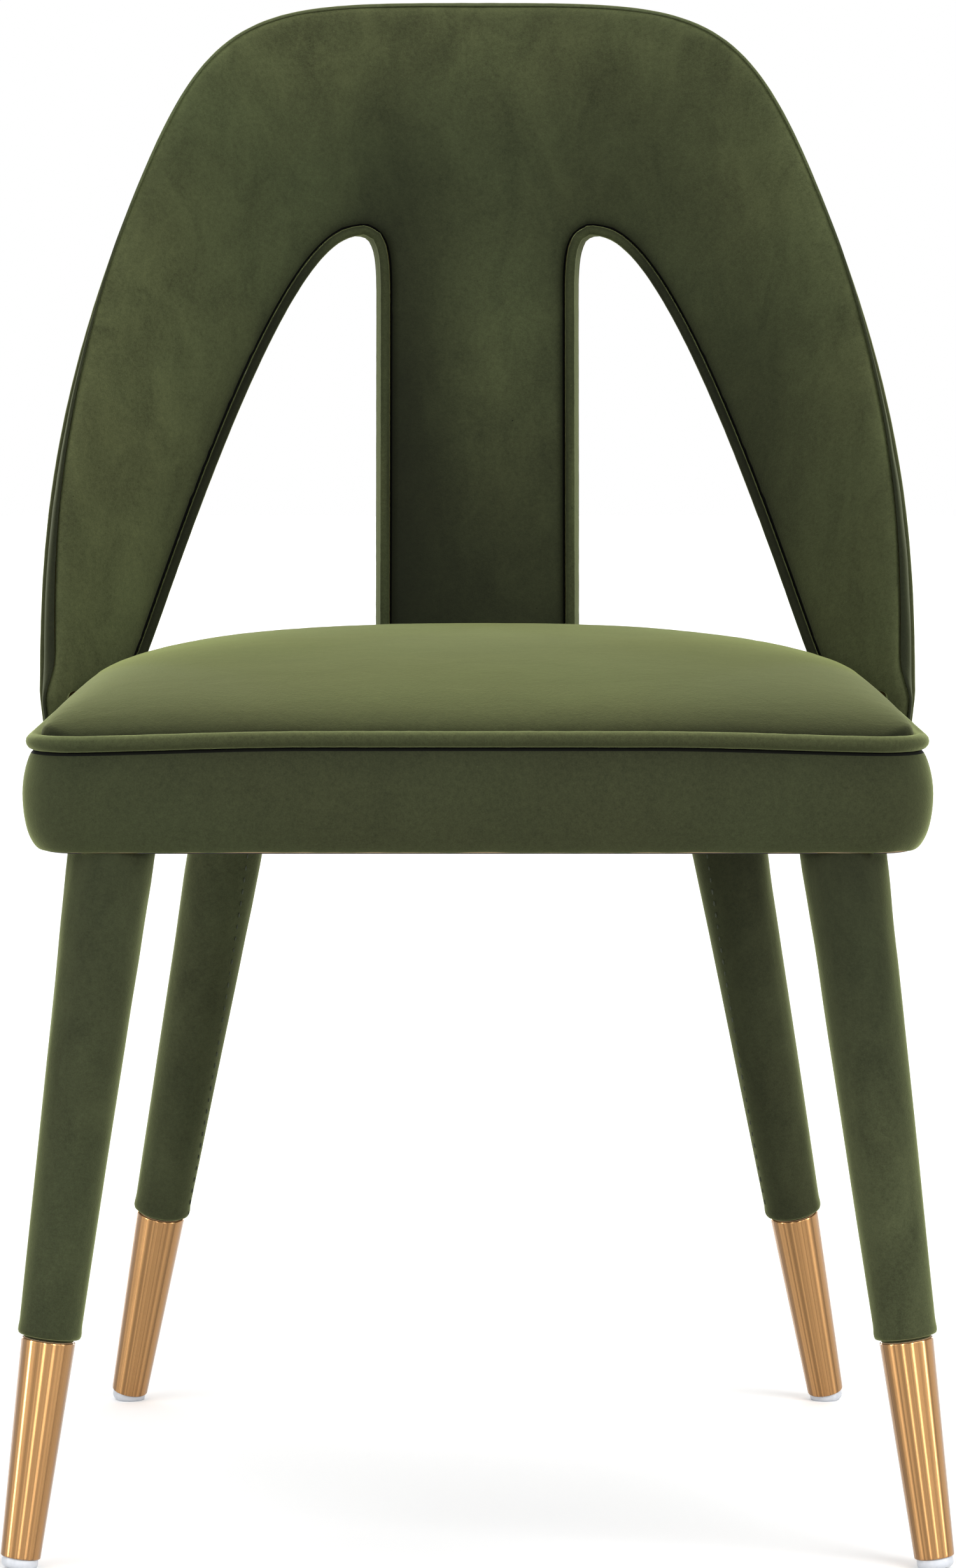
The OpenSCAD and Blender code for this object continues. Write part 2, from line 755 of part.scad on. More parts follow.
// The band of velvet that closes the free edge between the two covers
module back_edge_border() {
    color(dark_velvet) difference() {
        barrel_layer(face_r + velvet_t + soft_gap, border_rear_r, arch(face_in));
        front_view(arch_low(face_in + velvet_t));
        seat_notch();
    }
}

// The arch moved inwards by d and run on below the underside
function arch_low(d) = let (p = arch(d), x = p[len(p) - 1][0], z = seat_bottom_z - 5)
    concat([[-x, z]], p, [[x, z]]);

module back_edge_piping() {
    path = [for (p = arch(bead_in)) if (p[1] > seat_bottom_z + bead) p];
    foot = [path[len(path) - 1][0] - bead, seat_bottom_z + bead / 2];
    color(velvet) barrel_cord(concat([[-foot[0], foot[1]]], path, [foot]), rear_r - bead_in, false);
}

module slot_border(points, hole) {
    difference() {
        barrel_layer(border_front_r, border_rear_r, points);
        front_view(hole);
    }
}

module right_slot_border() { color(dark_velvet) slot_border(slot(velvet_t), slot(0)); }
module left_slot_border() { color(dark_velvet) slot_border(mirrored(slot(velvet_t)), mirrored(slot(0))); }

module right_slot_piping() { color(velvet) barrel_cord(slot(bead_in), face_r + bead_in, true); }
module left_slot_piping() { color(velvet) barrel_cord(mirrored(slot(bead_in)), face_r + bead_in, true); }
module right_slot_rear_piping() { color(velvet) barrel_cord(slot(bead_in), rear_r - bead_in, true); }
module left_slot_rear_piping() { color(velvet) barrel_cord(mirrored(slot(bead_in)), rear_r - bead_in, true); }

// ---------------------------------------------------------------- back fastenings

bolt_head_h = 4;
bolt_flange_d = 2.4 * back_bolt_d;
nut_plate_t = 2;
nut_sunk = 0.8;
screw_l = 35;
screw_sunk = 0.5;
BOLT_ANGLES = [-back_bolt_step, 0, back_bolt_step];
// The screws stand this far in from the outer side of each rear block
SCREW_IN = [16, 40];
SCREW_ANGLES = [for (s = [-1, 1]) for (d = SCREW_IN) s * asin((side_x(face_y) - rail_inset - d) / ply_r)];
rail_inner_r = ply_r - soft_gap - rail_t;
bolt_tip_r = ply_r + ply_t - nut_sunk;
screw_tip_r = ply_r + ply_t - screw_sunk;

// Height along the barrel's axis that puts a fastening at angle a halfway up the seat band
function bolt_h(a) = (ply_r * cos(a) * sin(lean) - band_h / 2) / cos(lean);

// A round bar of diameter d from radius r0 to radius r1 of the barrel, at angle a
module radial(a, r0, r1, d) {
    in_barrel() rotate([0, 0, 90 - a]) translate([0, 0, bolt_h(a)]) rotate([0, 90, 0])
        translate([0, 0, r0]) cylinder(h = r1 - r0, d = d);
}

module back_bolt_bores() {
    for (a = BOLT_ANGLES) radial(a, rail_inner_r - rail_t, rear_r, back_bolt_d + 2 * fit_gap);
}

// Recess in the rear of the shell for each flanged nut
module back_nut_pockets() {
    for (a = BOLT_ANGLES) radial(a, bolt_tip_r - nut_plate_t, rear_r, bolt_flange_d + 2 * soft_gap);
}

module back_bolts() {
    seat = rail_inner_r - fit_gap;
    color(steel) for (a = BOLT_ANGLES) {
        radial(a, seat - bolt_head_h, seat, 2 * back_bolt_d);
        radial(a, seat - eps, bolt_tip_r, back_bolt_d);
    }
}

module back_bolt_nuts() {
    color(steel) for (a = BOLT_ANGLES) difference() {
        radial(a, bolt_tip_r - nut_plate_t + eps, bolt_tip_r, bolt_flange_d);
        radial(a, bolt_tip_r - 2 * nut_plate_t, rear_r, back_bolt_d + 2 * fit_gap);
    }
}

module back_screw_bores() {
    for (a = SCREW_ANGLES) radial(a, screw_tip_r - screw_l - 1, rear_r, screw_d + 2 * fit_gap);
}

module back_screws() {
    color(steel) for (a = SCREW_ANGLES) radial(a, screw_tip_r - screw_l, screw_tip_r, screw_d);
}

// ---------------------------------------------------------------- nodes

seat_front_rail();
seat_rear_rail();
seat_left_rail();
seat_right_rail();
seat_corner_blocks();
seat_block_screws();
seat_webbing();
seat_foam();
seat_top_cover();
seat_side_band();
seat_piping();
seat_dust_cover();
dust_cover_staples();
back_shell();
back_face_foam();
back_face_cover();
back_rear_wadding();
back_rear_cover();
back_edge_border();
back_edge_piping();
left_slot_border();
right_slot_border();
left_slot_piping();
right_slot_piping();
left_slot_rear_piping();
right_slot_rear_piping();
back_bolts();
back_bolt_nuts();
back_screws();
leg_core(0);  // front_left_leg_core
leg_sleeve(0);  // front_left_leg_sleeve
ferrule(0);  // front_left_ferrule
glide(0);  // front_left_glide
leg_core(1);  // front_right_leg_core
leg_sleeve(1);  // front_right_leg_sleeve
ferrule(1);  // front_right_ferrule
glide(1);  // front_right_glide
leg_core(2);  // rear_left_leg_core
leg_sleeve(2);  // rear_left_leg_sleeve
ferrule(2);  // rear_left_ferrule
glide(2);  // rear_left_glide
leg_core(3);  // rear_right_leg_core
leg_sleeve(3);  // rear_right_leg_sleeve
ferrule(3);  // rear_right_ferrule
glide(3);  // rear_right_glide
leg_bolts();
leg_bolt_washers();
leg_bolt_nuts();
glide_nails();
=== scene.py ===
# %% [markdown]
# # A velvet dining chair with an arched barrel back
# The chair is dressed piece by piece around its CAD model. The CAD gives every place and size.
# This script adds what the solids can't show: stuffed velvet, piping, borders, turned metal and light.

# %% The CAD model, and the tools that the lesson uses
import math
import bmesh
import bpy
import numpy as np
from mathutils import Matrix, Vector, noise
from mathutils.geometry import delaunay_2d_cdt


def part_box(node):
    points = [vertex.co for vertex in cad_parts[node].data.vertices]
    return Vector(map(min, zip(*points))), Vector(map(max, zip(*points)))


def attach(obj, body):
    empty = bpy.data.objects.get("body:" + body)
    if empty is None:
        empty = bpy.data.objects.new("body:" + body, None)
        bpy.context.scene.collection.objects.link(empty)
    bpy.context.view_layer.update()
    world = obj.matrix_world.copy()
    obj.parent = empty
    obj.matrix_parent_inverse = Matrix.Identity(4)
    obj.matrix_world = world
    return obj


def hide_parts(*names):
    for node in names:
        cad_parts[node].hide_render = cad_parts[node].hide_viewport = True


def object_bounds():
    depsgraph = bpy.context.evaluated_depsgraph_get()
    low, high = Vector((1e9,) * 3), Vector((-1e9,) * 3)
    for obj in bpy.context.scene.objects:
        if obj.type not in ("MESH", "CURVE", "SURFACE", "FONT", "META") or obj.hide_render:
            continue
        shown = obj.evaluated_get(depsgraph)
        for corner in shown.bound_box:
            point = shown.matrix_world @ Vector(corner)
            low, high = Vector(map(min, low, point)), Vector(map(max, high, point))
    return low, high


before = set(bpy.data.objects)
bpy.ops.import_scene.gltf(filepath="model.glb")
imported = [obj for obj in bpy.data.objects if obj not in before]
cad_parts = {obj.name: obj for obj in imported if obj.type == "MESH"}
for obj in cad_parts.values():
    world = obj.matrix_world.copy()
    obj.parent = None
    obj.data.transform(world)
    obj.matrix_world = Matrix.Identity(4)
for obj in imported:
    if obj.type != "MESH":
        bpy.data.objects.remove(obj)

cad_lo, cad_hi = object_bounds()
print("CAD box in mm:", [round(1000 * v) for v in (*cad_lo, *cad_hi)])

# %% [markdown]
# ## Camera
# A long lens from above seat height keeps the legs nearly parallel, as in a catalogue view.
# The camera stands straight in front and tilts down slightly. Its place is measured from the CAD box.

# %% Camera
scene = bpy.context.scene
scene.view_settings.view_transform = "Standard"
CAMERA_X, CAMERA_BACK, CAMERA_BELOW_TOP, CAMERA_TILT = 0.0003, 3.15, 0.144, 0.09
LENS, SENSOR = 138.4, 36


def stand(name, data):
    """Puts a new object with this data into the scene."""
    made = bpy.data.objects.new(name, data)
    scene.collection.objects.link(made)
    return made


camera = stand("camera", bpy.data.cameras.new("camera"))
camera.location = (CAMERA_X, cad_lo.y - CAMERA_BACK, cad_hi.z - CAMERA_BELOW_TOP)
camera.rotation_euler = (math.pi / 2 - CAMERA_TILT, 0, 0)
camera.data.lens, camera.data.sensor_width = LENS, SENSOR
camera.data.clip_end = 60
scene.camera = camera
print("camera height", round(camera.location.z, 3))

# %% [markdown]
# ## Node helpers
# Every finish is a node tree. These helpers add nodes and links in one line each, so that a material
# reads like a recipe. A group is an effect that several finishes share.

# %% Node helpers
def add(tree, kind, links=(), **sockets):
    """Adds a node, sets its sockets by name, and links (socket name, output) pairs into it."""
    node = tree.nodes.new(kind)
    for name, value in sockets.items():
        key = name.replace("_", " ")
        if key in node.inputs:
            node.inputs[key].default_value = value
        else:
            setattr(node, name, value)
    for name, output in links:
        tree.links.new(output, node.inputs[name])
    return node


def maths(tree, operation, a, b=None, c=None):
    """A Math node. Each value is a number or another node's output."""
    node = tree.nodes.new("ShaderNodeMath")
    node.operation = operation
    for k, value in enumerate((a, b, c)):
        if value is None:
            continue
        if isinstance(value, (int, float)):
            node.inputs[k].default_value = value
        else:
            tree.links.new(value, node.inputs[k])
    return node.outputs[0]


def object_place(tree):
    return add(tree, "ShaderNodeTexCoord").outputs["Object"]


def noise_over(tree, vector, scale, detail, **more):
    return add(tree, "ShaderNodeTexNoise", [("Vector", vector)], Scale=scale, Detail=detail, **more)

print("node helpers ready")

# %% Helpers for groups and materials
def new_group(name, inputs, outputs, kind_of_tree="ShaderNodeTree"):
    """An empty node group. inputs and outputs are {name: (socket type, default)}."""
    tree = bpy.data.node_groups.new(name, kind_of_tree)
    for way, sockets in (("INPUT", inputs), ("OUTPUT", outputs)):
        for label, (kind, default) in sockets.items():
            s = tree.interface.new_socket(name=label, in_out=way, socket_type="NodeSocket" + kind)
            if default is not None:
                s.default_value = default
    return tree, tree.nodes.new("NodeGroupInput").outputs, tree.nodes.new("NodeGroupOutput").inputs


def set_inputs(node, values):
    for label, value in values.items():
        node.inputs[label.replace("_", " ")].default_value = value


def place_group(tree, group, **values):
    node = tree.nodes.new("ShaderNodeGroup")
    node.node_tree = group
    set_inputs(node, values)
    return node.outputs


def swing(tree, noise_node, amount, base):
    """base, made higher and lower by a noise. amount is the whole way from its lowest to its highest."""
    return maths(tree, "MULTIPLY_ADD", maths(tree, "SUBTRACT", noise_node.outputs["Fac"], 0.5), amount, base)


def material(name, **principled):
    """A material with its Principled shader, whose constants are set on its own sockets."""
    made = bpy.data.materials.new(name)
    made.use_nodes = True
    tree = made.node_tree
    shader = tree.nodes["Principled BSDF"]
    set_inputs(shader, principled)
    return made, tree, shader


def bump(tree, shader, height, strength, distance):
    node = add(tree, "ShaderNodeBump", [("Height", height)], Strength=strength, Distance=distance)
    tree.links.new(node.outputs["Normal"], shader.inputs["Normal"])


def dress(tree, shader, out, strength, depth):
    """Links a group's colour and height to a shader."""
    tree.links.new(out["Colour"], shader.inputs["Base Color"])
    bump(tree, shader, out["Height"], strength, depth)


def srgb(*seen):
    """A colour as it is seen on a screen, from 0 to 255, as the linear values that shaders use."""
    return tuple(c / 255 / 12.92 if c <= 10 else ((c / 255 + 0.055) / 1.055) ** 2.4 for c in seen) + (1,)

print("material helpers ready")

# %% [markdown]
# ## Velvet
# Velvet is a carpet of upright fibres. Seen straight on it swallows light, and seen along the surface
# the fibre tips catch it, so every edge that turns away glows. The Principled shader's sheen does that.
# The pile is never combed quite evenly: broad clouds and small nap marks change its value, and a few
# specks of lint lie on it. The group gives the colour and the height of the pile. It also paints the
# light and shade that a piece stores at its points: shade near seams, and lighter and darker patches.

# %% The velvet group
COLOUR_AND_HEIGHT = {"Colour": ("Color", None), "Height": ("Float", None)}
velvet_group, gin, gout = new_group(
    "velvet_pile",
    {"Colour": ("Color", (0.05, 0.07, 0.02, 1)), "Clouds": ("Float", 0.3), "Nap": ("Float", 0.4),
     "Lint": ("Float", 0.5), "Seam": ("Float", 0.92)}, COLOUR_AND_HEIGHT)
t = velvet_group
where = object_place(t)
clouds = noise_over(t, where, 7.0, 3.0, Roughness=0.5)
combed = add(t, "ShaderNodeMapping", [("Vector", where)], Scale=(1.0, 1.0, 0.55))
nap = noise_over(t, combed.outputs[0], 34.0, 6.0, Roughness=0.62, Distortion=0.7)
pile = noise_over(t, where, 1300.0, 2.0, Roughness=0.6)
tuft = noise_over(t, where, 420.0, 4.0, Roughness=0.7)
lint = add(t, "ShaderNodeTexVoronoi", [("Vector", where)], Scale=140.0)
speck = maths(t, "LESS_THAN", lint.outputs["Distance"], 0.06)
which = add(t, "ShaderNodeSeparateColor", [("Color", lint.outputs["Color"])])
rare = maths(t, "GREATER_THAN", which.outputs[0], 0.86)
tone = maths(t, "MULTIPLY", maths(t, "SUBTRACT", which.outputs[1], 0.55), gin["Lint"])
value = swing(t, clouds, gin["Clouds"], 1.0)
for marks, amount in ((nap, gin["Nap"]), (tuft, 0.9), (pile, 0.8)):
    value = swing(t, marks, amount, value)
value = maths(t, "MULTIPLY_ADD", maths(t, "MULTIPLY", speck, rare), tone, value)
# Painted shade: near a seam the stored seam value makes the colour darker, as the groove's shade.
seam_shade_mark = add(t, "ShaderNodeAttribute", attribute_name="seam")
seam_shade = maths(t, "MULTIPLY", seam_shade_mark.outputs["Fac"], gin["Seam"])
value = maths(t, "MULTIPLY", value, maths(t, "SUBTRACT", 1.0, seam_shade))
# Painted light and shade, with some nap marks: a stored value makes each point lighter or darker.
nap_and_shade_mark = add(t, "ShaderNodeAttribute", attribute_name="nap_and_shade")
nap_and_shade = maths(t, "EXPONENT", nap_and_shade_mark.outputs["Fac"])
value = maths(t, "MULTIPLY", value, nap_and_shade)
hue = swing(t, clouds, 0.05, 0.5)
colour = add(t, "ShaderNodeHueSaturation", [("Color", gin["Colour"]), ("Value", value), ("Hue", hue)])
t.links.new(colour.outputs[0], gout["Colour"])
height = maths(t, "MULTIPLY_ADD", tuft.outputs["Fac"], 0.6, maths(t, "MULTIPLY", pile.outputs["Fac"], 0.4))
height = maths(t, "MULTIPLY_ADD", nap.outputs["Fac"], 1.3, height)
t.links.new(height, gout["Height"])
print("velvet group:", len(velvet_group.nodes), "nodes")

# %% Velvets
def velvet(name, colour, clouds=0.3, nap=0.4, depth=0.0005, sheen=0.9, spread=0.42,
           glow=(214, 226, 156)):
    """A velvet of a colour, with the colour of its lit edges and how far in from an edge they spread."""
    made, tree, shader = material(
        name, Sheen_Weight=sheen, Sheen_Roughness=spread, Sheen_Tint=srgb(*glow),
        Specular_IOR_Level=0.08, Roughness=0.9)
    out = place_group(tree, velvet_group, Colour=srgb(*colour), Clouds=clouds, Nap=nap, Lint=1.4)
    dress(tree, shader, out, 0.35, depth)
    return made


velvet_back = velvet("velvet_back", (60, 65, 41), clouds=0.45, nap=1.3, depth=0.0008)
velvet_seat = velvet("velvet_seat", (61, 65, 38), clouds=0.25, nap=0.45, depth=0.001, sheen=0.5,
                     glow=(216, 226, 152))
velvet_band = velvet("velvet_band", (52, 56, 35), clouds=0.3, nap=0.5)
velvet_piping = velvet("velvet_piping", (58, 62, 38), nap=0.2)
velvet_slot_piping = velvet("velvet_slot_piping", (52, 56, 34), nap=0.5, sheen=1.0, spread=0.3)
# Painted shade: the border is the same velvet, made much darker and duller because it turns away from the
# lamps.
shaded_velvet_border = velvet("shaded_velvet_border", (26, 29, 17), nap=0.3, sheen=0.25)
velvet_slot_border = velvet("velvet_slot_border", (52, 56, 34), nap=0.3, sheen=0.7)
# Painted shade: a near-black velvet without sheen, given to faces in the seams' grooves.
velvet_seam_shadow = velvet("velvet_seam_shadow", (13, 15, 8), nap=0.2, sheen=0.0)
velvet_leg = velvet("velvet_leg", (61, 65, 43), clouds=0.6, nap=1.3)
print("velvets:", len([m for m in bpy.data.materials if m.name.startswith("velvet")]))

# %% [markdown]
# ## Turned metal
# The ferrules are thin metal cones with a satin, pale rose-gold finish. They were turned on a lathe,
# so fine rings run round them, and the rings stretch each light's reflection along the cone. Anisotropy
# does that on the shader, with the ring's direction taken from the cone's own UV map. Long lines run
# down the cone, smoother and rougher by turns, and lighter and darker in colour. The colour lines are
# painted reflection streaks, beside the real ones that the tall lamps draw.

# %% Turned metal
ring_group, gin, gout = new_group(
    "turned_rings", {"Rings": ("Float", 900.0), "Depth": ("Float", 0.04)},
    {"Roughness": ("Float", None), "Height": ("Float", None), "Value": ("Float", None)})
t = ring_group
uv = add(t, "ShaderNodeUVMap", uv_map="round")
along = add(t, "ShaderNodeSeparateXYZ", [("Vector", uv.outputs[0])])
place = maths(t, "MULTIPLY", along.outputs["Y"], gin["Rings"])
rings = add(t, "ShaderNodeTexNoise", [("W", place)], noise_dimensions="1D", Scale=1.0, Detail=3.0)
smudge = noise_over(t, object_place(t), 55.0, 4.0)
SATIN, LINE_POLISH, PAINTED_STREAK_TONE = 0.27, -0.25, 2.6
rough = swing(t, rings, gin["Depth"], swing(t, smudge, 0.06, SATIN))
round_turn = maths(t, "MULTIPLY", along.outputs["X"], 2 * math.pi)
circle = add(t, "ShaderNodeCombineXYZ", [("X", maths(t, "COSINE", round_turn)),
                                         ("Y", maths(t, "SINE", round_turn))])
drawn = noise_over(t, circle.outputs[0], 5.5, 2.0, Roughness=0.7)
lines = maths(t, "SUBTRACT", drawn.outputs["Fac"], 0.52)
t.links.new(maths(t, "MULTIPLY_ADD", lines, LINE_POLISH, rough), gout["Roughness"])
t.links.new(rings.outputs["Fac"], gout["Height"])
# Painted reflection streaks: long lines lighten and darken the metal's colour.
t.links.new(maths(t, "MULTIPLY_ADD", lines, PAINTED_STREAK_TONE, swing(t, rings, 0.16, 1.0)), gout["Value"])

gold, tree, shader = material("rose_gold", Metallic=1.0, Anisotropic=0.85, Anisotropic_Rotation=0.25,
                              Coat_Weight=0.2, Coat_Roughness=0.12)
out = place_group(tree, ring_group)
tint = add(tree, "ShaderNodeHueSaturation", [("Value", out["Value"])], Color=srgb(155, 117, 75))
tree.links.new(tint.outputs[0], shader.inputs["Base Color"])
tree.links.new(out["Roughness"], shader.inputs["Roughness"])
bump(tree, shader, out["Height"], 0.05, 0.00005)
tangent = add(tree, "ShaderNodeTangent", direction_type="UV_MAP", uv_map="round")
tree.links.new(tangent.outputs[0], shader.inputs["Tangent"])
print("metal:", gold.name)

# %% [markdown]
# ## Plain finishes
# The inside of the chair has beech rails, a plywood shell, foam, wadding, webbing and steel. Most of it
# is hidden, but each has its own finish, because a reader may open the model. Two groups serve them all:
# one stretches a noise into grain, and one crosses two waves into a weave.

# %% Grain and weave
grain_group, gin, gout = new_group(
    "long_grain",
    {"Light": ("Color", (1, 1, 1, 1)), "Dark": ("Color", (0, 0, 0, 1)), "Stretch": ("Vector", (4, 60, 60)),
     "Scale": ("Float", 3.0)}, COLOUR_AND_HEIGHT)
t = grain_group
pulled = add(t, "ShaderNodeMapping", [("Vector", object_place(t)), ("Scale", gin["Stretch"])])
fibres = add(t, "ShaderNodeTexNoise", [("Vector", pulled.outputs[0]), ("Scale", gin["Scale"])], Detail=6.0,
             Distortion=0.6)
mixed = add(t, "ShaderNodeMix", [(6, gin["Light"]), (7, gin["Dark"]), (0, fibres.outputs["Fac"])],
            data_type="RGBA")
t.links.new(mixed.outputs[2], gout["Colour"])
t.links.new(fibres.outputs["Fac"], gout["Height"])

weave_group, gin, gout = new_group(
    "plain_weave", {"Colour": ("Color", (0, 0, 0, 1)), "Threads": ("Float", 400.0)}, COLOUR_AND_HEIGHT)
t = weave_group
where = object_place(t)
warp = add(t, "ShaderNodeTexWave", [("Vector", where), ("Scale", gin["Threads"])], bands_direction="X")
weft = add(t, "ShaderNodeTexWave", [("Vector", where), ("Scale", gin["Threads"])], bands_direction="Y")
crossed = maths(t, "MAXIMUM", warp.outputs["Fac"], weft.outputs["Fac"])
shade = add(t, "ShaderNodeHueSaturation",
            [("Color", gin["Colour"]), ("Value", maths(t, "MULTIPLY_ADD", crossed, 0.5, 0.7))])
t.links.new(shade.outputs[0], gout["Colour"])
t.links.new(crossed, gout["Height"])
print("groups:", grain_group.name, "and", weave_group.name)

# %% Finishes of the inner parts
def grained(name, light, dark, stretch, depth, **principled):
    made, tree, shader = material(name, **principled)
    out = place_group(tree, grain_group, Light=srgb(*light), Dark=srgb(*dark), Stretch=stretch)
    dress(tree, shader, out, 0.3, depth)
    return made


def woven(name, colour, threads, **principled):
    made, tree, shader = material(name, **principled)
    dress(tree, shader, place_group(tree, weave_group, Colour=srgb(*colour), Threads=threads), 0.4, 0.0003)
    return made


beech = grained("beech", (214, 184, 140), (176, 138, 92), (5, 60, 60), 0.0002, Roughness=0.6)
plywood = grained("plywood", (202, 166, 118), (160, 120, 78), (6, 40, 200), 0.0002, Roughness=0.6)
foam = grained("foam", (240, 230, 196), (214, 200, 160), (300, 300, 300), 0.0006, Roughness=0.95)
wadding = grained("wadding", (244, 243, 238), (222, 220, 212), (90, 90, 90), 0.001, Roughness=1.0)
steel = grained("zinc_steel", (190, 193, 198), (140, 144, 150), (200, 200, 900), 0.00003,
                Metallic=1.0, Roughness=0.34)
nylon = grained("pale_nylon", (226, 230, 236), (206, 211, 219), (120, 120, 120), 0.0001,
                Roughness=0.42)
webbing = woven("webbing", (58, 58, 62), 260.0, Roughness=0.85)
dust_cloth = woven("dust_cloth", (30, 30, 32), 520.0, Roughness=0.95)
thread = grained("thread", (60, 68, 40), (34, 40, 22), (900, 900, 900), 0.0001, Roughness=0.8)

CAD_FINISH = {
    beech: ["seat_front_rail", "seat_rear_rail", "seat_left_rail", "seat_right_rail", "seat_corner_blocks"],
    plywood: ["back_shell"], foam: ["seat_foam", "back_face_foam"], wadding: ["back_rear_wadding"],
    webbing: ["seat_webbing"], dust_cloth: ["seat_dust_cover"],
    steel: ["seat_block_screws", "dust_cover_staples", "back_bolts", "back_bolt_nuts", "back_screws",
            "leg_bolts", "leg_bolt_washers", "leg_bolt_nuts", "glide_nails"]}
SIDES = [(-1, "left"), (1, "right")]
LEGS = [(end + "_" + word, side, end == "rear") for end in ("front", "rear") for side, word in SIDES]
CAD_FINISH[beech] += [name + "_leg_core" for name, _, _ in LEGS]
for finish, names in CAD_FINISH.items():
    for name in names:
        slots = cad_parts[name].data.materials
        if len(slots):
            slots[0] = finish
        else:
            slots.append(finish)
print("CAD nodes with a finish of their own:", sum(len(n) for n in CAD_FINISH.values()))

# %% [markdown]
# ## Curves and shells
# Upholstery starts from a pattern: flat outlines, offset for seams and piping. These helpers draw
# such outlines, in millimetres as on a workshop drawing, and turn them into closed meshes in metres.

# %% Outlines
MM = 0.001


def curve(p0, p1, p2, p3, count):
    """Points along a cubic curve, without its last point."""
    t = np.arange(count)[:, None] / count
    p0, p1, p2, p3 = (np.array(p, float) for p in (p0, p1, p2, p3))
    return (1 - t) ** 3 * p0 + 3 * (1 - t) ** 2 * t * p1 + 3 * (1 - t) * t * t * p2 + t ** 3 * p3


def even(path, step, closed=False):
    """The same path with points about step apart. It keeps its ends."""
    p = np.asarray(path, float)
    if closed:
        p = np.vstack([p, p[:1]])
    run = np.concatenate([[0], np.cumsum(np.linalg.norm(np.diff(p, axis=0), axis=1))])
    count = max(int(round(run[-1] / step)), 3)
    at = np.linspace(0, run[-1], count + 1)
    made = np.column_stack([np.interp(at, run, p[:, k]) for k in range(p.shape[1])])
    return made[:-1] if closed else made


def to_right(path, closed=False):
    """At each point of a flat path, the step that moves it 1 mm to its right and keeps its corners."""
    p = np.asarray(path, float)
    ahead = np.roll(p, -1, axis=0) - p
    if not closed:
        ahead[-1] = ahead[-2]
    ahead /= np.linalg.norm(ahead, axis=1)[:, None]
    behind = np.roll(ahead, 1, axis=0)
    if not closed:
        behind[0] = ahead[0]
    t = ahead + behind
    t /= np.linalg.norm(t, axis=1)[:, None]
    return np.column_stack([t[:, 1], -t[:, 0]]) / np.maximum((t * behind).sum(1), 0.5)[:, None]


def moved(path, d, closed=False):
    """The path moved d to its right. d is a number or one number for each point."""
    d = np.asarray(d, float)
    return path + to_right(path, closed) * (d[:, None] if d.ndim else d)


def mirrored(path):
    return np.column_stack([-path[::-1, 0], path[::-1, 1]])


def inside(points, rim):
    """Which of the flat points lie inside a closed rim."""
    x, y = points[:, :1], points[:, 1:2]
    a, b = rim, np.roll(rim, -1, axis=0)
    span = (a[None, :, 1] > y) != (b[None, :, 1] > y)
    rise = np.where(b[:, 1] == a[:, 1], 1e-9, b[:, 1] - a[:, 1])
    crossing = (b[:, 0] - a[:, 0]) * (y - a[:, 1]) / rise + a[:, 0]
    return (span & (x < crossing)).sum(1) % 2 == 1

print("a quarter of an arc, even:", len(even(curve((0, 0), (50, 0), (90, 40), (90, 90), 20), 5)))

# %% Meshes
def smoothstep(x, lo, hi):
    t = np.clip((np.asarray(x, float) - lo) / (hi - lo), 0, 1)
    return t * t * (3 - 2 * t)


def mesh_piece(name, points, faces, finish, uvs=None):
    """A mesh piece from points in millimetres. uvs has each face corner's place on a map called round."""
    mesh = bpy.data.meshes.new(name)
    mesh.from_pydata((np.asarray(points, float) * MM).tolist(), [], [list(map(int, f)) for f in faces])
    if uvs:
        mesh.uv_layers.new(name="round").data.foreach_set("uv", np.ravel(uvs))
    bm = bmesh.new()
    bm.from_mesh(mesh)
    bmesh.ops.recalc_face_normals(bm, faces=bm.faces)
    for face in bm.faces:
        face.smooth = True
    bm.to_mesh(mesh)
    bm.free()
    mesh.materials.append(finish)
    return stand(name, mesh)


def loft(rings, closed):
    """Walls between closed sections that follow each other. Open ends are capped."""
    rings = np.asarray(rings, float)
    count, sides = rings.shape[:2]
    faces = []
    for i in range(count if closed else count - 1):
        j = (i + 1) % count
        for k in range(sides):
            m = (k + 1) % sides
            faces.append((i * sides + k, i * sides + m, j * sides + m, j * sides + k))
    if not closed:
        faces.append(tuple(range(sides - 1, -1, -1)))
        faces.append(tuple((count - 1) * sides + k for k in range(sides)))
    return rings.reshape(-1, 3), faces


def declare(piece, *nodes, slot=None):
    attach(piece, "root")
    if nodes:
        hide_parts(*nodes)

print("mesh helpers ready")

# %% [markdown]
# ## The barrel of the back
# The back is bent to a leaning cylinder, a barrel, round the sitter. Each outline is drawn flat, as
# seen from the front, and then laid on the barrel at the radius of its layer. So a seam, a cord and a
# border that share an outline always meet.

# %% The barrel
LEAN = math.radians(10.5)
FACE_R, REAR_R = 325.0, 352.4
SEAM_Z = sum(v.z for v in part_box("seat_piping")) / 2 / MM
FLOOR_OF_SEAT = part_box("seat_side_band")[0].z / MM
SEAT_FRONT = cad_lo.y / MM
SEAT_DEPTH = 447
FACE_Y = SEAT_FRONT + SEAT_DEPTH
BARREL_Y = FACE_Y - FACE_R / math.cos(LEAN)


def on_barrel(points, r):
    """Points of the front view, laid on the barrel at radius r (a number, or one for each point)."""
    p = np.asarray(points, float)
    deep = np.sqrt(np.maximum(np.square(r) - p[:, 0] ** 2, 1)) / math.cos(LEAN)
    return np.column_stack([p[:, 0], BARREL_Y + (p[:, 1] - SEAM_Z) * math.tan(LEAN) + deep, p[:, 1]])

print("seam height", round(SEAM_Z, 1), "barrel centre", round(BARREL_Y, 1))

# %% [markdown]
# The outlines: the arch, which narrows at the shoulders, and the opening beside the splat, which has
# a narrow top and a long outer curve. Half is drawn and the other half mirrored.

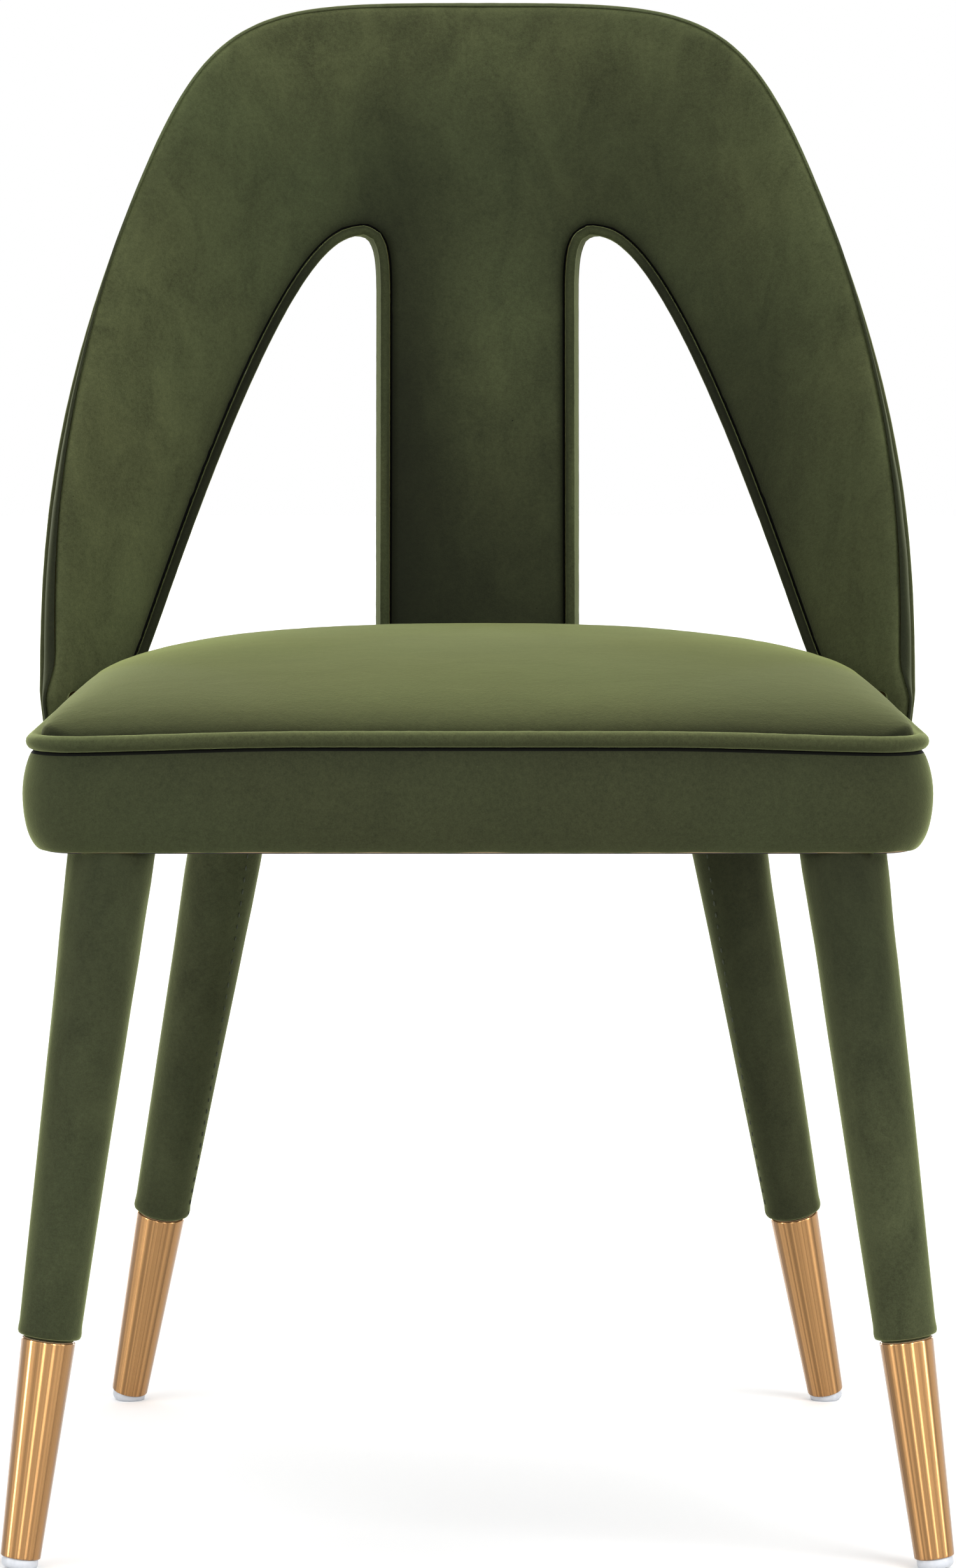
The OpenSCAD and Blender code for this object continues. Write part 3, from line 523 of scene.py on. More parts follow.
# %% The arch and the openings
TOP_Z = cad_hi.z / MM
STEEP = math.radians(68.6)
SHOULDER, DOWN = np.array([202, TOP_Z - 109]), np.array([math.cos(STEEP), -math.sin(STEEP)])
WAIST, WING_X, WING_END = np.array([256, SEAM_Z]), 237.5, np.array([249, FLOOR_OF_SEAT])
half = np.vstack([
    curve((0, TOP_Z), (132, TOP_Z), SHOULDER - 115 * DOWN, SHOULDER, 60),
    curve(SHOULDER, SHOULDER + 148 * DOWN, WAIST + (0, 75), WAIST, 60),
    curve(WAIST, WAIST * 2 / 3 + WING_END / 3, WAIST / 3 + WING_END * 2 / 3, WING_END, 12), WING_END[None]])
half = even(half, 5)
ARCH = np.vstack([mirrored(half), half[1:]])


def arch(d):
    """The arch moved in by d, with its feet kept at the underside."""
    p = moved(ARCH, d)
    p[[0, -1], 1] = FLOOR_OF_SEAT
    return p


SPLAT_X, SLOT_TOP, SLOT_LOW = 61.5, TOP_Z - 142, SEAM_Z + 9
toe, turn, crest = (SPLAT_X, SLOT_LOW), (SPLAT_X, TOP_Z - 177), (72, SLOT_TOP)
knee, heel = (194, SEAM_Z + 24), (199.5, SLOT_LOW)
SLOT = even(np.vstack([
    curve(toe, (SPLAT_X, SEAM_Z + 80), (SPLAT_X, TOP_Z - 250), turn, 30),
    curve(turn, (SPLAT_X, TOP_Z - 148), (65, SLOT_TOP), crest, 24),
    curve(crest, (116, SLOT_TOP), (179.5, SEAM_Z + 63), knee, 60), np.array([knee]),
    curve(heel, (150, SLOT_LOW), (110, SLOT_LOW), toe, 20)]), 5, closed=True)


def slot_of(side, d):
    """The opening on one side (-1 left, 1 right), grown by d."""
    grown = moved(SLOT, -np.asarray(d, float), closed=True)
    return grown if side > 0 else mirrored(grown)

print("arch points", len(ARCH), "opening points", len(SLOT))

# %% [markdown]
# Where the seams run on the front: the opening is cut square to the barrel, so beside the splat its
# front seam stands further from the opening than its rear edge does. The arch's front seam
# draws in from the outline towards the feet of the wings, where the border grows wider.

# %% The front seams
def slot_front(side, extra=0.0):
    """The front seam round an opening, grown by extra."""
    right = to_right(SLOT, closed=True)
    right /= np.linalg.norm(right, axis=1)[:, None]
    cut = 0.5 + 4.2 * np.maximum(0, right[:, 0]) + 1.5 * np.maximum(0, -right[:, 1])
    return slot_of(side, cut + extra)


def arch_front(extra=0.0):
    """The front seam of the arch, moved in by extra."""
    z = ARCH[:, 1]
    draw_in = 2 + 0.032 * np.clip(700 - z, 0, 235)
    draw_in = draw_in + (4.2 - draw_in) * smoothstep(-z, -462, -436)
    return arch(draw_in + extra)

print("front seam of the arch draws in by", round(256 - arch_front()[:, 0].max(), 1), "mm at most")

# %% [markdown]
# ## Padded velvet
# A pad is velvet pulled over foam and sewn along its rim, so its face stands proud and rolls down to
# the seam. The pad's outline is filled with a fine net of triangles, laid on the barrel with a rolled
# edge, and closed behind. Then Cloth blows it up a little against its sewn rim, as stuffing does.

# %% A net of triangles over an outline
def nearest(spots, points):
    """How far each point is from the nearest of the spots."""
    return np.array([np.sqrt(((spots - p) ** 2).sum(1).min()) for p in points])


def net(rims, step, rows, seed):
    """Fills the first rim, less the others. Returns flat points, triangles and each point's rim (or -1)."""
    rims = [np.asarray(r, float) for r in rims]
    flat = np.vstack(rims)
    rim_of = np.concatenate([np.full(len(r), k) for k, r in enumerate(rims)])
    tight = np.vstack([even(r, 1.0, True) for r in rims])

    def within(p):
        keep = inside(p, rims[0])
        for hole in rims[1:]:
            keep &= ~inside(p, hole)
        return keep

    added = []
    for d in rows:
        for k, r in enumerate(rims):
            ahead = np.roll(r, -1, axis=0)
            clockwise = (r[:, 0] * ahead[:, 1] - ahead[:, 0] * r[:, 1]).sum() < 0
            row = moved(r, d if (k == 0) == clockwise else -d, True)
            row = row[within(row)]
            added.append(row[nearest(tight, row) > 0.85 * d])
    low, high = rims[0].min(0), rims[0].max(0)
    shift = np.random.default_rng(seed)
    row_step = step * 0.87
    xs, ys = np.meshgrid(np.arange(low[0], high[0], step), np.arange(low[1], high[1], row_step))
    xs = xs + (np.arange(xs.shape[0]) % 2)[:, None] * step / 2
    grid = np.column_stack([xs.ravel(), ys.ravel()]) + shift.uniform(-0.12, 0.12, (xs.size, 2)) * step
    grid = grid[within(grid)]
    added.append(grid[nearest(tight, grid) > rows[-1] + 0.6 * step])
    points = np.vstack([flat] + added)
    edges, start = [], 0
    for r in rims:
        edges += [(start + i, start + (i + 1) % len(r)) for i in range(len(r))]
        start += len(r)
    made = delaunay_2d_cdt([Vector(p) for p in points], edges, [], 0, 1e-6)
    out = np.array([tuple(v) for v in made[0]])
    triangles = np.array(made[2])
    triangles = triangles[within(out[triangles].mean(1))]
    origin = np.array([o[0] if o else -1 for o in made[3]])
    rim = np.where((origin >= 0) & (origin < len(flat)), rim_of[np.clip(origin, 0, len(flat) - 1)], -1)
    used = np.unique(triangles)
    index = np.full(len(out), -1)
    index[used] = np.arange(len(used))
    return out[used], index[triangles], rim[used]


def closed_pad(front, back, triangles):
    """A front and a back skin over the same net, joined round their rims."""
    count = len(front)
    edges = dict.fromkeys(e for a, b, c in triangles for e in ((a, b), (b, c), (c, a)))
    walls = [(b, a, a + count, b + count) for a, b in edges if (b, a) not in edges]
    behind = [(c + count, b + count, a + count) for a, b, c in triangles]
    return np.vstack([front, back]), [tuple(t) for t in triangles] + behind + walls

print("net test:", len(net([[(0, 0), (0, 60), (60, 60), (60, 0)]], 8, (2, 4), 1)[1]), "triangles")

# %% Seams and ripples
def roll(points, line, depth, width, closed=False):
    """How far the face has rolled down near a seam line: depth at the seam, none beyond width."""
    gap = nearest(even(line, 1.0, closed), points)
    share = np.clip(1 - gap / width, 0, 1)
    return depth * (1 - np.sqrt(1 - share * share)), gap


def store(piece, label, values):
    """Stores a value at each point, for the velvet to read. Points without one get none."""
    values = np.concatenate([values, np.zeros(len(piece.data.vertices) - len(values))])
    piece.data.attributes.new(label, "FLOAT", "POINT").data.foreach_set("value", values)


def mark_seam_shade(piece, gap, reach):
    """Stores how near each point is to a sewn rim: 1 at the seam, almost none beyond twice the reach. The
    velvet is made darker by it: painted shade in the seam's groove.
    """
    store(piece, "seam", np.exp(-(gap / reach) ** 2))


def ripple(points, length, seed, octaves=2):
    """A smooth random value from about -1 to 1 at each point, with waves of that length."""
    return np.array([noise.fractal(Vector((*p, 0)[:3]) / length + Vector((seed, 0, 0)), 1.0, 2.0, octaves)
                     for p in points])

print("2 mm from a seam the face lies", roll([(2, 0)], [(0, -9), (0, 9)], 7, 12)[0].round(1), "mm deep")

# %% [markdown]
# The stuffing: Cloth with a little pressure and no gravity. The rim and the hidden back skin are held.
# Cloth leaves small puckers, so each step is evened out with its neighbours' steps. Then a soft cap
# shortens the long ones, so that the pad keeps the size of its solid.

# %% Stuffing with Cloth
STEPS = 20


def held_points(rim):
    """The sewn rim and the whole back skin, which stay where they are."""
    return np.concatenate([np.where(rim >= 0)[0], np.arange(len(rim), 2 * len(rim))])


def stuff(piece, rim, pressure, cap, even_out):
    """Blows a pad up by less than cap (in mm). Returns the middle of the steps that Cloth made, in mm."""
    held, mesh = held_points(rim), piece.data
    group = piece.vertex_groups.new(name="held")
    group.add([int(i) for i in held], 1.0, "REPLACE")
    cloth = piece.modifiers.new("stuffing", "CLOTH")
    s = cloth.settings
    s.quality, s.mass, s.bending_stiffness = 5, 0.3, 0.5
    s.tension_stiffness = s.compression_stiffness = s.shear_stiffness = 12.0
    s.use_pressure, s.uniform_pressure_force = True, pressure
    s.vertex_group_mass = "held"
    s.effector_weights.gravity = 0
    cloth.point_cache.frame_start, cloth.point_cache.frame_end = 1, STEPS
    before = np.array([tuple(v.co) for v in mesh.vertices])
    for frame_number in range(1, STEPS + 1):
        scene.frame_set(frame_number)
    shaped = piece.evaluated_get(bpy.context.evaluated_depsgraph_get())
    after = np.array([tuple(v.co) for v in shaped.data.vertices])
    step = after - before
    ends = np.array([e.vertices[:] for e in mesh.edges])
    joined = np.bincount(ends.ravel(), minlength=len(before))[:, None]
    fixed = np.zeros(len(before), bool)
    fixed[held] = True
    for _ in range(even_out):
        total = np.zeros_like(step)
        np.add.at(total, ends[:, 0], step[ends[:, 1]])
        np.add.at(total, ends[:, 1], step[ends[:, 0]])
        step = np.where(fixed[:, None], step, 0.5 * step + 0.5 * total / np.maximum(joined, 1))
    far = np.linalg.norm(step, axis=1)
    limit = cap * MM / (cap * MM + far)
    piece.modifiers.remove(cloth)
    piece.vertex_groups.clear()
    mesh.vertices.foreach_set("co", (before + step * limit[:, None]).ravel())
    mesh.update()
    scene.frame_set(1)
    return float(np.median(far[far > 1e-6]) / MM) if (far > 1e-6).any() else 0.0


def refine(piece):
    smooth = piece.modifiers.new("fine", "SUBSURF")
    smooth.levels = smooth.render_levels = 1

print("stuffing is", "on")

# %% [markdown]
# ## The face of the back
# One velvet panel covers the arch, both wings and the splat. It rolls down by about 7 mm at the
# outer seam and 5 mm round the openings, and stays full where it dips behind the seat. Round the
# tight tops of the openings the velvet can't lie flat, so it gathers in short, shallow pleats.

# %% The face of the back
NOTCH_X, NOTCH_Z, PAD_IN = WING_X + 0.6, SEAM_Z + 3, 4.2
outer = arch_front(0.6)
notch = even(np.array([outer[-1], (NOTCH_X, FLOOR_OF_SEAT), (NOTCH_X, NOTCH_Z), (-NOTCH_X, NOTCH_Z),
                       (-NOTCH_X, FLOOR_OF_SEAT), outer[0]]), 4)[1:-1]
face_rims = [np.vstack([outer, notch]), slot_front(-1, PAD_IN), slot_front(1, PAD_IN)]
flat, triangles, rim = net(face_rims, 6.0, (1.2, 3, 5.6, 9), seed=3)


def face_shape(flat):
    """How far each point lies behind the fullest face, and how far it is from the openings' seams."""
    dip, gap = roll(flat, outer, 7.0, 12.0)
    soft, hole_gap = np.minimum(gap, 60) / 60, np.full(len(flat), 99.0)
    for side, hole in zip((-1, 1), face_rims[1:]):
        d, g = roll(flat, hole, 4.6, 8.0, True)
        dip = np.maximum(dip, d)
        soft = np.minimum(soft, np.minimum(g, 40) / 40)
        spread = flat - (side * 70.0, SLOT_TOP - 14)
        pleats = 0.5 + 0.5 * np.cos(13 * np.arctan2(spread[:, 1], spread[:, 0]) + side)
        above = smoothstep(spread[:, 1], -10, 12)
        dip += 0.55 * np.exp(-g / 9) * above * pleats * (g < 40)
        hole_gap = np.minimum(hole_gap, g)
    dip += 0.5 * ripple(flat, 34, 5) * np.exp(-gap / 16)
    dip += 0.7 * ripple(flat, 110, 9) * soft
    return dip, hole_gap


dip, gap = face_shape(flat)
print("face of the back:", len(triangles), "triangles, its rim lies", round(dip.max(), 1), "mm back")

# %% [markdown]
# Soft lighter and darker patches of the front view are stored at the points of the net. Partly they
# stand for nap pushed down (darker) or up (lighter); partly they are painted light and shade, lighter
# where lamps would light the face and darker where it would lie in shade. Faces right at the openings'
# seams get a dark velvet of their own without sheen: painted shade in the groove.

# %% Painted light and shade, and marks in the nap
# (x, z, half width, half height, how much lighter or darker)
NAP_AND_SHADE_MARKS = [
    (-200, 655, 30, 60, 0.2), (195, 655, 26, 50, 0.15), (-48, 570, 22, 120, -1.4), (5, 475, 55, 65, -1.0),
    (165, 620, 30, 80, -0.75), (-225, 500, 40, 90, 0.25), (-110, 805, 80, 35, 0.14), (0, 745, 110, 35, -0.24),
    (-80, 740, 40, 30, -0.12), (95, 735, 50, 60, -0.25), (215, 640, 22, 90, 0.15), (0, 825, 170, 22, 0.16),
    (170, 730, 26, 50, 0.55), (-205, 660, 26, 60, 0.1)]


def paint_nap_and_shade(piece, marks):
    """Stores how much lighter or darker each point is painted: nap marks, and painted light and shade."""
    store(piece, "nap_and_shade", marks)


def places(piece):
    """The piece's points in millimetres."""
    return np.array([v.co for v in piece.data.vertices]) / MM


def paint_seam_shadow(piece, near):
    """Gives the faces whose points are all near a seam a dark velvet without sheen: painted shade in the
    groove.
    """
    piece.data.materials.append(velvet_seam_shadow)
    for face in piece.data.polygons:
        if all(near[v] for v in face.vertices):
            face.material_index = 1

print("marks in the nap of the face:", len(NAP_AND_SHADE_MARKS))

# %% The pad of the face
SWELL_ROOM, FACE_THICK = 2.0, 11.8
front, back = on_barrel(flat, FACE_R + SWELL_ROOM + dip), on_barrel(flat, FACE_R + FACE_THICK)
points, faces = closed_pad(front, back, triangles)
face_pad = mesh_piece("back_face_pad", points, faces, velvet_back)
# Painted shade: the velvet is darker right at the openings' seams.
mark_seam_shade(face_pad, gap, 2.4)
# Painted light and shade, with some nap marks: the soft patches of the table above.
marks = sum(m * np.exp(-((flat[:, 0] - x) / w) ** 2 / 2 - ((flat[:, 1] - z) / h) ** 2 / 2)
            for x, z, w, h, m in NAP_AND_SHADE_MARKS)
rim_gap = nearest(even(outer, 1.0), flat)
# Painted shade beside the openings, and a painted highlight along the outer rim of the face.
paint_nap_and_shade(face_pad, marks - 0.45 * np.exp(-gap / 8) + 0.45 * np.exp(-(rim_gap / 2.5) ** 2))
paint_seam_shadow(face_pad, np.concatenate([gap < 1.6, np.zeros(len(gap), bool)]))
swell = stuff(face_pad, rim, pressure=3.0, cap=4.0, even_out=3)
print("face of the back swells by", round(swell, 1), "mm,", len(faces), "faces")
refine(face_pad)
declare(face_pad, "back_face_cover", "back_face_foam", slot="velvet")

# %% [markdown]
# ## The rear of the back
# The same outline, a little smaller, closes the rear. It has only thin wadding under it, so it is
# tighter than the face.

# %% The rear of the back
REAR_IN = 5.6
rear_outer = arch(REAR_IN)
rear_close = even(np.array([rear_outer[-1], (0, FLOOR_OF_SEAT), rear_outer[0]]), 5)[1:-1]
rear_rims = [np.vstack([rear_outer, rear_close]), slot_of(-1, REAR_IN), slot_of(1, REAR_IN)]
flat, triangles, rim = net(rear_rims, 7.0, (1.5, 4), seed=5)
dip, gap = roll(flat, rear_outer, 2.2, 8.0)
for hole in rear_rims[1:]:
    dip = np.maximum(dip, roll(flat, hole, 2.2, 8.0, True)[0])
dip += 0.6 * ripple(flat, 90, 21) * np.minimum(gap, 50) / 50
points, faces = closed_pad(on_barrel(flat, REAR_R - 0.8 - dip), on_barrel(flat, REAR_R - 4.9), triangles)
rear_pad = mesh_piece("back_rear_pad", points, faces, velvet_back)
print("rear of the back swells by", round(stuff(rear_pad, rim, pressure=1.5, cap=1.2, even_out=3), 1), "mm")
refine(rear_pad)
declare(rear_pad, "back_rear_cover", "back_rear_wadding", slot="velvet")

# %% [markdown]
# ## Borders
# A border is a strip of velvet that closes the edge between the two covers. It is made as a loft:
# at each step along the outline a thin section runs from the front seam to the rear seam, with a
# slight swell between them, so a dark groove is left along each seam.

# %% Borders
STRIP_THICK, SLOT_SEAM_OUT = 1.4, 1.2


def border(name, front_line, front_r, rear_line, rear_r, finish, closed, facing, swell, knee):
    """A strip of velvet between two lines on the barrel. knee makes it leave the front seam steeply."""
    shares = np.array([0, 0.04, 0.12, 0.25, 0.4, 0.55, 0.7, 0.84, 0.94, 1])
    a, b = on_barrel(front_line, front_r), on_barrel(rear_line, rear_r)
    along = np.roll(a, -1, axis=0) - np.roll(a, 1, axis=0)
    if not closed:
        along[0], along[-1] = a[1] - a[0], a[-1] - a[-2]
    out = np.cross(along, b - a) * facing
    out /= np.linalg.norm(out, axis=1)[:, None]
    arc = np.sqrt(np.maximum(0, 1 - (2 * shares - 1) ** 4))
    wave = 1 + 0.3 * ripple(front_line, 30, 13)
    skins = []
    for share, h in zip(shares, arc):
        line = rear_line + (front_line - rear_line) * (1 - share) ** knee
        proud = out * (swell * h * wave)[:, None]
        skins.append(on_barrel(line, front_r + (rear_r - front_r) * share) + proud)
    skins = np.stack(skins, axis=1)
    lining = skins[:, ::-1] - out[:, None, :] * STRIP_THICK
    points, faces = loft(np.concatenate([skins, lining], axis=1), closed)
    return mesh_piece(name, points, faces, finish)


edge = border("back_edge_border_velvet", arch_front(-0.2), FACE_R + 6.2, arch(3.8), REAR_R - 5.2,
              shaded_velvet_border, closed=False, facing=1, swell=1.0, knee=2.4)
# Painted light: the border is made lighter, and much lighter towards the top of the arch, as a lit rim.
height = places(edge)[:, 2]
paint_nap_and_shade(edge, 0.35 + 0.6 * smoothstep(height, 540, 700) + 1.1 * smoothstep(height, 670, 760))
refine(edge)
declare(edge, "back_edge_border", slot="velvet")
for side, word in SIDES:
    strip = border(word + "_slot_border_velvet", slot_front(side, SLOT_SEAM_OUT), FACE_R + 3.4,
                   slot_of(side, 0.8), REAR_R - 5.0, velvet_slot_border, closed=True, facing=-1, swell=0.4,
                   knee=1.0)
    # Painted shade: darker along the opening's outer curve, where it faces away from the light.
    paint_nap_and_shade(strip, -1.1 * smoothstep(np.abs(places(strip)[:, 0]), 75, 110))
    refine(strip)
    declare(strip, word + "_slot_border", slot="velvet")
print("borders made")

# %% [markdown]
# ## Piping
# Piping is a cord wrapped in a strip of velvet and sewn into a seam. All of it is one rule, a round
# section that follows a path, so a Geometry Nodes tree makes it. The wrap is never quite even: a noise
# along the cord lifts the surface by a fraction of a millimetre.

# %% The piping tree
def new_tree(name, inputs):
    shape = {"Geometry": ("Geometry", None)}
    return new_group(name, {**shape, **inputs}, shape, "GeometryNodeTree")


def finish_tree(tree, made, gin, gout):
    """Turns what a tree has made into a plain mesh with its finish, and gives it out."""
    whole = add(tree, "GeometryNodeRealizeInstances", [("Geometry", made.outputs[0])])
    dressed = add(tree, "GeometryNodeSetMaterial",
                  [("Geometry", whole.outputs[0]), ("Material", gin["Finish"])])
    tree.links.new(dressed.outputs[0], gout["Geometry"])


piping_tree, gin, gout = new_tree("piping", {
    "Radius": ("Float", 0.0025), "Sides": ("Int", 14), "Unevenness": ("Float", 0.0002),
    "Seed": ("Float", 0.0), "Finish": ("Material", None)})
t = piping_tree
path = add(t, "GeometryNodeMeshToCurve", [("Mesh", gin["Geometry"])])
section = add(t, "GeometryNodeCurvePrimitiveCircle",
              [("Resolution", gin["Sides"]), ("Radius", gin["Radius"])])
tube = add(t, "GeometryNodeCurveToMesh", [("Curve", path.outputs[0]), ("Profile Curve", section.outputs[0])],
           Fill_Caps=True)
place = add(t, "GeometryNodeInputPosition")
wrap = add(t, "ShaderNodeTexNoise", [("Vector", place.outputs[0]), ("W", gin["Seed"])], noise_dimensions="4D",
           Scale=160.0, Detail=2.0)
lift = maths(t, "MULTIPLY", maths(t, "SUBTRACT", wrap.outputs["Fac"], 0.5), gin["Unevenness"])
normal = add(t, "GeometryNodeInputNormal")
push = add(t, "ShaderNodeVectorMath", [("Vector", normal.outputs[0]), ("Scale", lift)], operation="SCALE")
lumpy = add(t, "GeometryNodeSetPosition", [("Geometry", tube.outputs[0]), ("Offset", push.outputs[0])])
soft = add(t, "GeometryNodeSetShadeSmooth", [("Geometry", lumpy.outputs[0])])
finish_tree(t, soft, gin, gout)
print("piping tree:", len(piping_tree.nodes), "nodes")

# %% Growing a piece from a path
def grow(name, source, tree, sizes, finish):
    """Runs a Geometry Nodes tree on a source mesh and keeps the result as a plain mesh."""
    values = {**sizes, "Finish": finish}
    holder = stand(name + "_source", source)
    nodes = holder.modifiers.new("grow", "NODES")
    nodes.node_group = tree
    for item in tree.interface.items_tree:
        if item.item_type == "SOCKET" and item.in_out == "INPUT" and item.name in values:
            nodes[item.identifier] = values[item.name]
    deps = bpy.context.evaluated_depsgraph_get()
    mesh = bpy.data.meshes.new_from_object(holder.evaluated_get(deps), preserve_all_data_layers=True,
                                           depsgraph=deps)
    holder.modifiers.remove(nodes)
    bpy.data.objects.remove(holder)
    mesh.name = name
    mesh.materials.clear()
    mesh.materials.append(finish)
    return stand(name, mesh)


def path_mesh(name, path, closed=False):
    """A chain of edges in metres, from a path in millimetres."""
    mesh = bpy.data.meshes.new(name + "_path")
    count = len(path)
    edges = [(i, i + 1) for i in range(count - 1)] + ([(count - 1, 0)] if closed else [])
    mesh.from_pydata((np.asarray(path) * MM).tolist(), edges, [])
    return mesh


def piping(name, path, closed, diameter, finish, seed, unevenness=0.35):
    sizes = {"Radius": diameter / 2 * MM, "Unevenness": unevenness * MM, "Seed": seed}
    return grow(name, path_mesh(name, path, closed), piping_tree, sizes, finish)

print("cords can grow")

# %% [markdown]
# The cords of the back: one round the rear edge of the arch, and one on each face of each opening.

# %% Piping on the back
CORD, SLOT_CORD, CORD_IN, SLOT_CORD_R = 5.0, 5.6, 2.8, FACE_R + 2.4
SLOT_MIDDLE = (78.0, 560.0)
cord_line = on_barrel(arch(CORD_IN)[1:-1], REAR_R - CORD_IN)
edge_cord = piping("back_edge_cord", cord_line, False, CORD, velvet_piping, 1.0)
declare(edge_cord, "back_edge_piping", slot="piping_velvet")


def paint_slot_cord_light(cord, side):
    """Paints light and shade on the cord: a painted highlight towards the opening, and painted shade towards
    the pad and down its outer side.
    """
    at, path = places(cord), on_barrel(even(slot_front(side, SLOT_SEAM_OUT), 1, True), SLOT_CORD_R)
    middle = np.array([path[((path - p) ** 2).sum(1).argmin()] for p in at])
    inward = on_barrel([(side * SLOT_MIDDLE[0], SLOT_MIDDLE[1])], FACE_R) - middle
    inward /= np.linalg.norm(inward, axis=1)[:, None]
    turned_in = ((at - middle) * inward).sum(1) / (SLOT_CORD / 2)
    paint_nap_and_shade(cord, 0.45 * smoothstep(turned_in, 0.1, 0.8) - 0.75 * smoothstep(-turned_in, -0.1, 0.8)
          - 1.1 * smoothstep(np.abs(at[:, 0]), 80, 110))


for side, word in SIDES:
    line = on_barrel(even(slot_front(side, SLOT_SEAM_OUT), 3, True), SLOT_CORD_R)
    seen = piping(word + "_slot_cord", line, True, SLOT_CORD, velvet_slot_piping, 2.0 + side)
    paint_slot_cord_light(seen, side)
    declare(seen, word + "_slot_piping", slot="piping_velvet")
    line = on_barrel(even(slot_of(side, CORD_IN), 4, True), REAR_R - CORD_IN)
    hidden = piping(word + "_slot_rear_cord", line, True, CORD, velvet_piping, 5.0 + side)
    declare(hidden, word + "_slot_rear_piping", slot="piping_velvet")
print("cords on the back: 5")

# %% [markdown]
# ## The seat
# The seat is a stuffed crown over a padded band, with a thick cord in the seam between them. Its plan
# is a rounded square that narrows slightly to the rear, where it meets the barrel of the back.
# The seam isn't quite level: the stuffing lifts it a few millimetres in the middle of the front.

# %% Seat plan
HALF_W, TAPER, CORNER = 242.5, 8.0, 34.0
PIPE_D, BULGE = 8.6, 5.0
PIPE_IN = PIPE_D / 2 + BULGE / 2


def side_x(y):
    return HALF_W - TAPER * (y - SEAT_FRONT) / SEAT_DEPTH


def seat_path(d, y_end, step=6):
    """From the rear left, round the front, to the rear right, drawn in by d."""
    r = max(CORNER - d, 4)
    cx, cy = side_x(SEAT_FRONT + CORNER) - CORNER, SEAT_FRONT + CORNER
    turn = np.linspace(-math.pi / 2, 0, 24)
    right = np.column_stack([cx + r * np.cos(turn), cy + r * np.sin(turn)])
    right = np.vstack([(0, SEAT_FRONT + d), right, (side_x(y_end) - d, y_end)])
    right = even(right, step)
    return np.vstack([mirrored(right), right[1:]])


def seam_lift(x, y):
    """How far the seam rises above its level line."""
    ahead = smoothstep(-np.asarray(y, float), -SEAT_FRONT - 120, -SEAT_FRONT)
    return 0.4 + ahead * 3.0 * (1 - smoothstep(np.abs(x), 90, 235))


def barrel_front(x, z, r):
    """How far back a point may go before it meets the barrel of radius r."""
    return BARREL_Y + (z - SEAM_Z) * math.tan(LEAN) + np.sqrt(np.maximum(r * r - x * x, 1)) / math.cos(LEAN)

print("seat width at the front", 2 * HALF_W)

# %% [markdown]
# The crown is a net over the plan, lifted by two rises, one from the sides and one from the front.
# They are joined by a soft minimum, which rounds the corners by itself. At the rear the cushion tucks
# down against the back, which leaves the dark line that every real chair has there.

# %% Seat cushion
CUSHION_IN = PIPE_IN + PIPE_D / 2 - 1.2
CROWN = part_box("seat_top_cover")[1].z / MM - SEAM_Z
TUCK_Z, NEAR_END_Y = 20, 60
side_end = barrel_front(side_x(NEAR_END_Y) - CUSHION_IN, SEAM_Z + TUCK_Z, FACE_R - 1.5)
sides = seat_path(CUSHION_IN, side_end, 5)
rear_x = np.linspace(sides[-1, 0], sides[0, 0], 84)[1:-1]
rear_line = np.column_stack([rear_x, barrel_front(rear_x, SEAM_Z + TUCK_Z, FACE_R - 1.5)])
flat, triangles, rim = net([np.vstack([sides, rear_line])], 7.0, (1.5, 4, 8), seed=11)


def crown_rise(flat, edge):
    """0 at the seam and 1 in the middle. edge is how far each point is from the seam."""
    x, y = flat[:, 0], flat[:, 1]
    reach = side_x(y) - CUSHION_IN
    from_side = np.clip(np.abs(x) / reach, 0, 1)
    from_front = 1 - np.clip((y - SEAT_FRONT - CUSHION_IN) / (reach + 110), 0, 1)
    across = np.maximum(1 - from_side ** 2.5, 1e-5) ** 0.33
    along = np.maximum(1 - from_front ** 2.2, 1e-5) ** 0.5
    plump = (across ** -3 + along ** -3 - 1) ** (-1 / 3)
    return plump * np.sqrt(1 - np.clip(1 - edge / 2, 0, 1) ** 2)


seam_gap, rear_gap = nearest(even(sides, 1.0), flat), nearest(even(rear_line, 1.0), flat)
rise = crown_rise(flat, seam_gap)
tuck, _ = roll(flat, rear_line, 10.0, 16.0)
top = SEAM_Z - 1 + seam_lift(*flat.T) * (1 - smoothstep(rise, 0.2, 1)) + (CROWN + 0.9) * rise
top = top - tuck + 0.4 * ripple(flat, 90, 31) * rise
lean_back = (top - SEAM_Z - TUCK_Z) * math.tan(LEAN) * smoothstep(-rear_gap, -12, 0)
front = np.column_stack([flat[:, 0], flat[:, 1] + lean_back, top])
back = np.column_stack([flat, np.full(len(flat), SEAM_Z - 3.0)])
points, faces = closed_pad(front, back, triangles)
cushion = mesh_piece("seat_cushion", points, faces, velvet_seat)
# Painted shade: darker right at the seam and along the tuck at the rear.
mark_seam_shade(cushion, np.minimum(seam_gap, rear_gap), 1.6)
print("seat cushion:", len(faces), "faces, its crown is", round(float(CROWN), 1), "mm high")

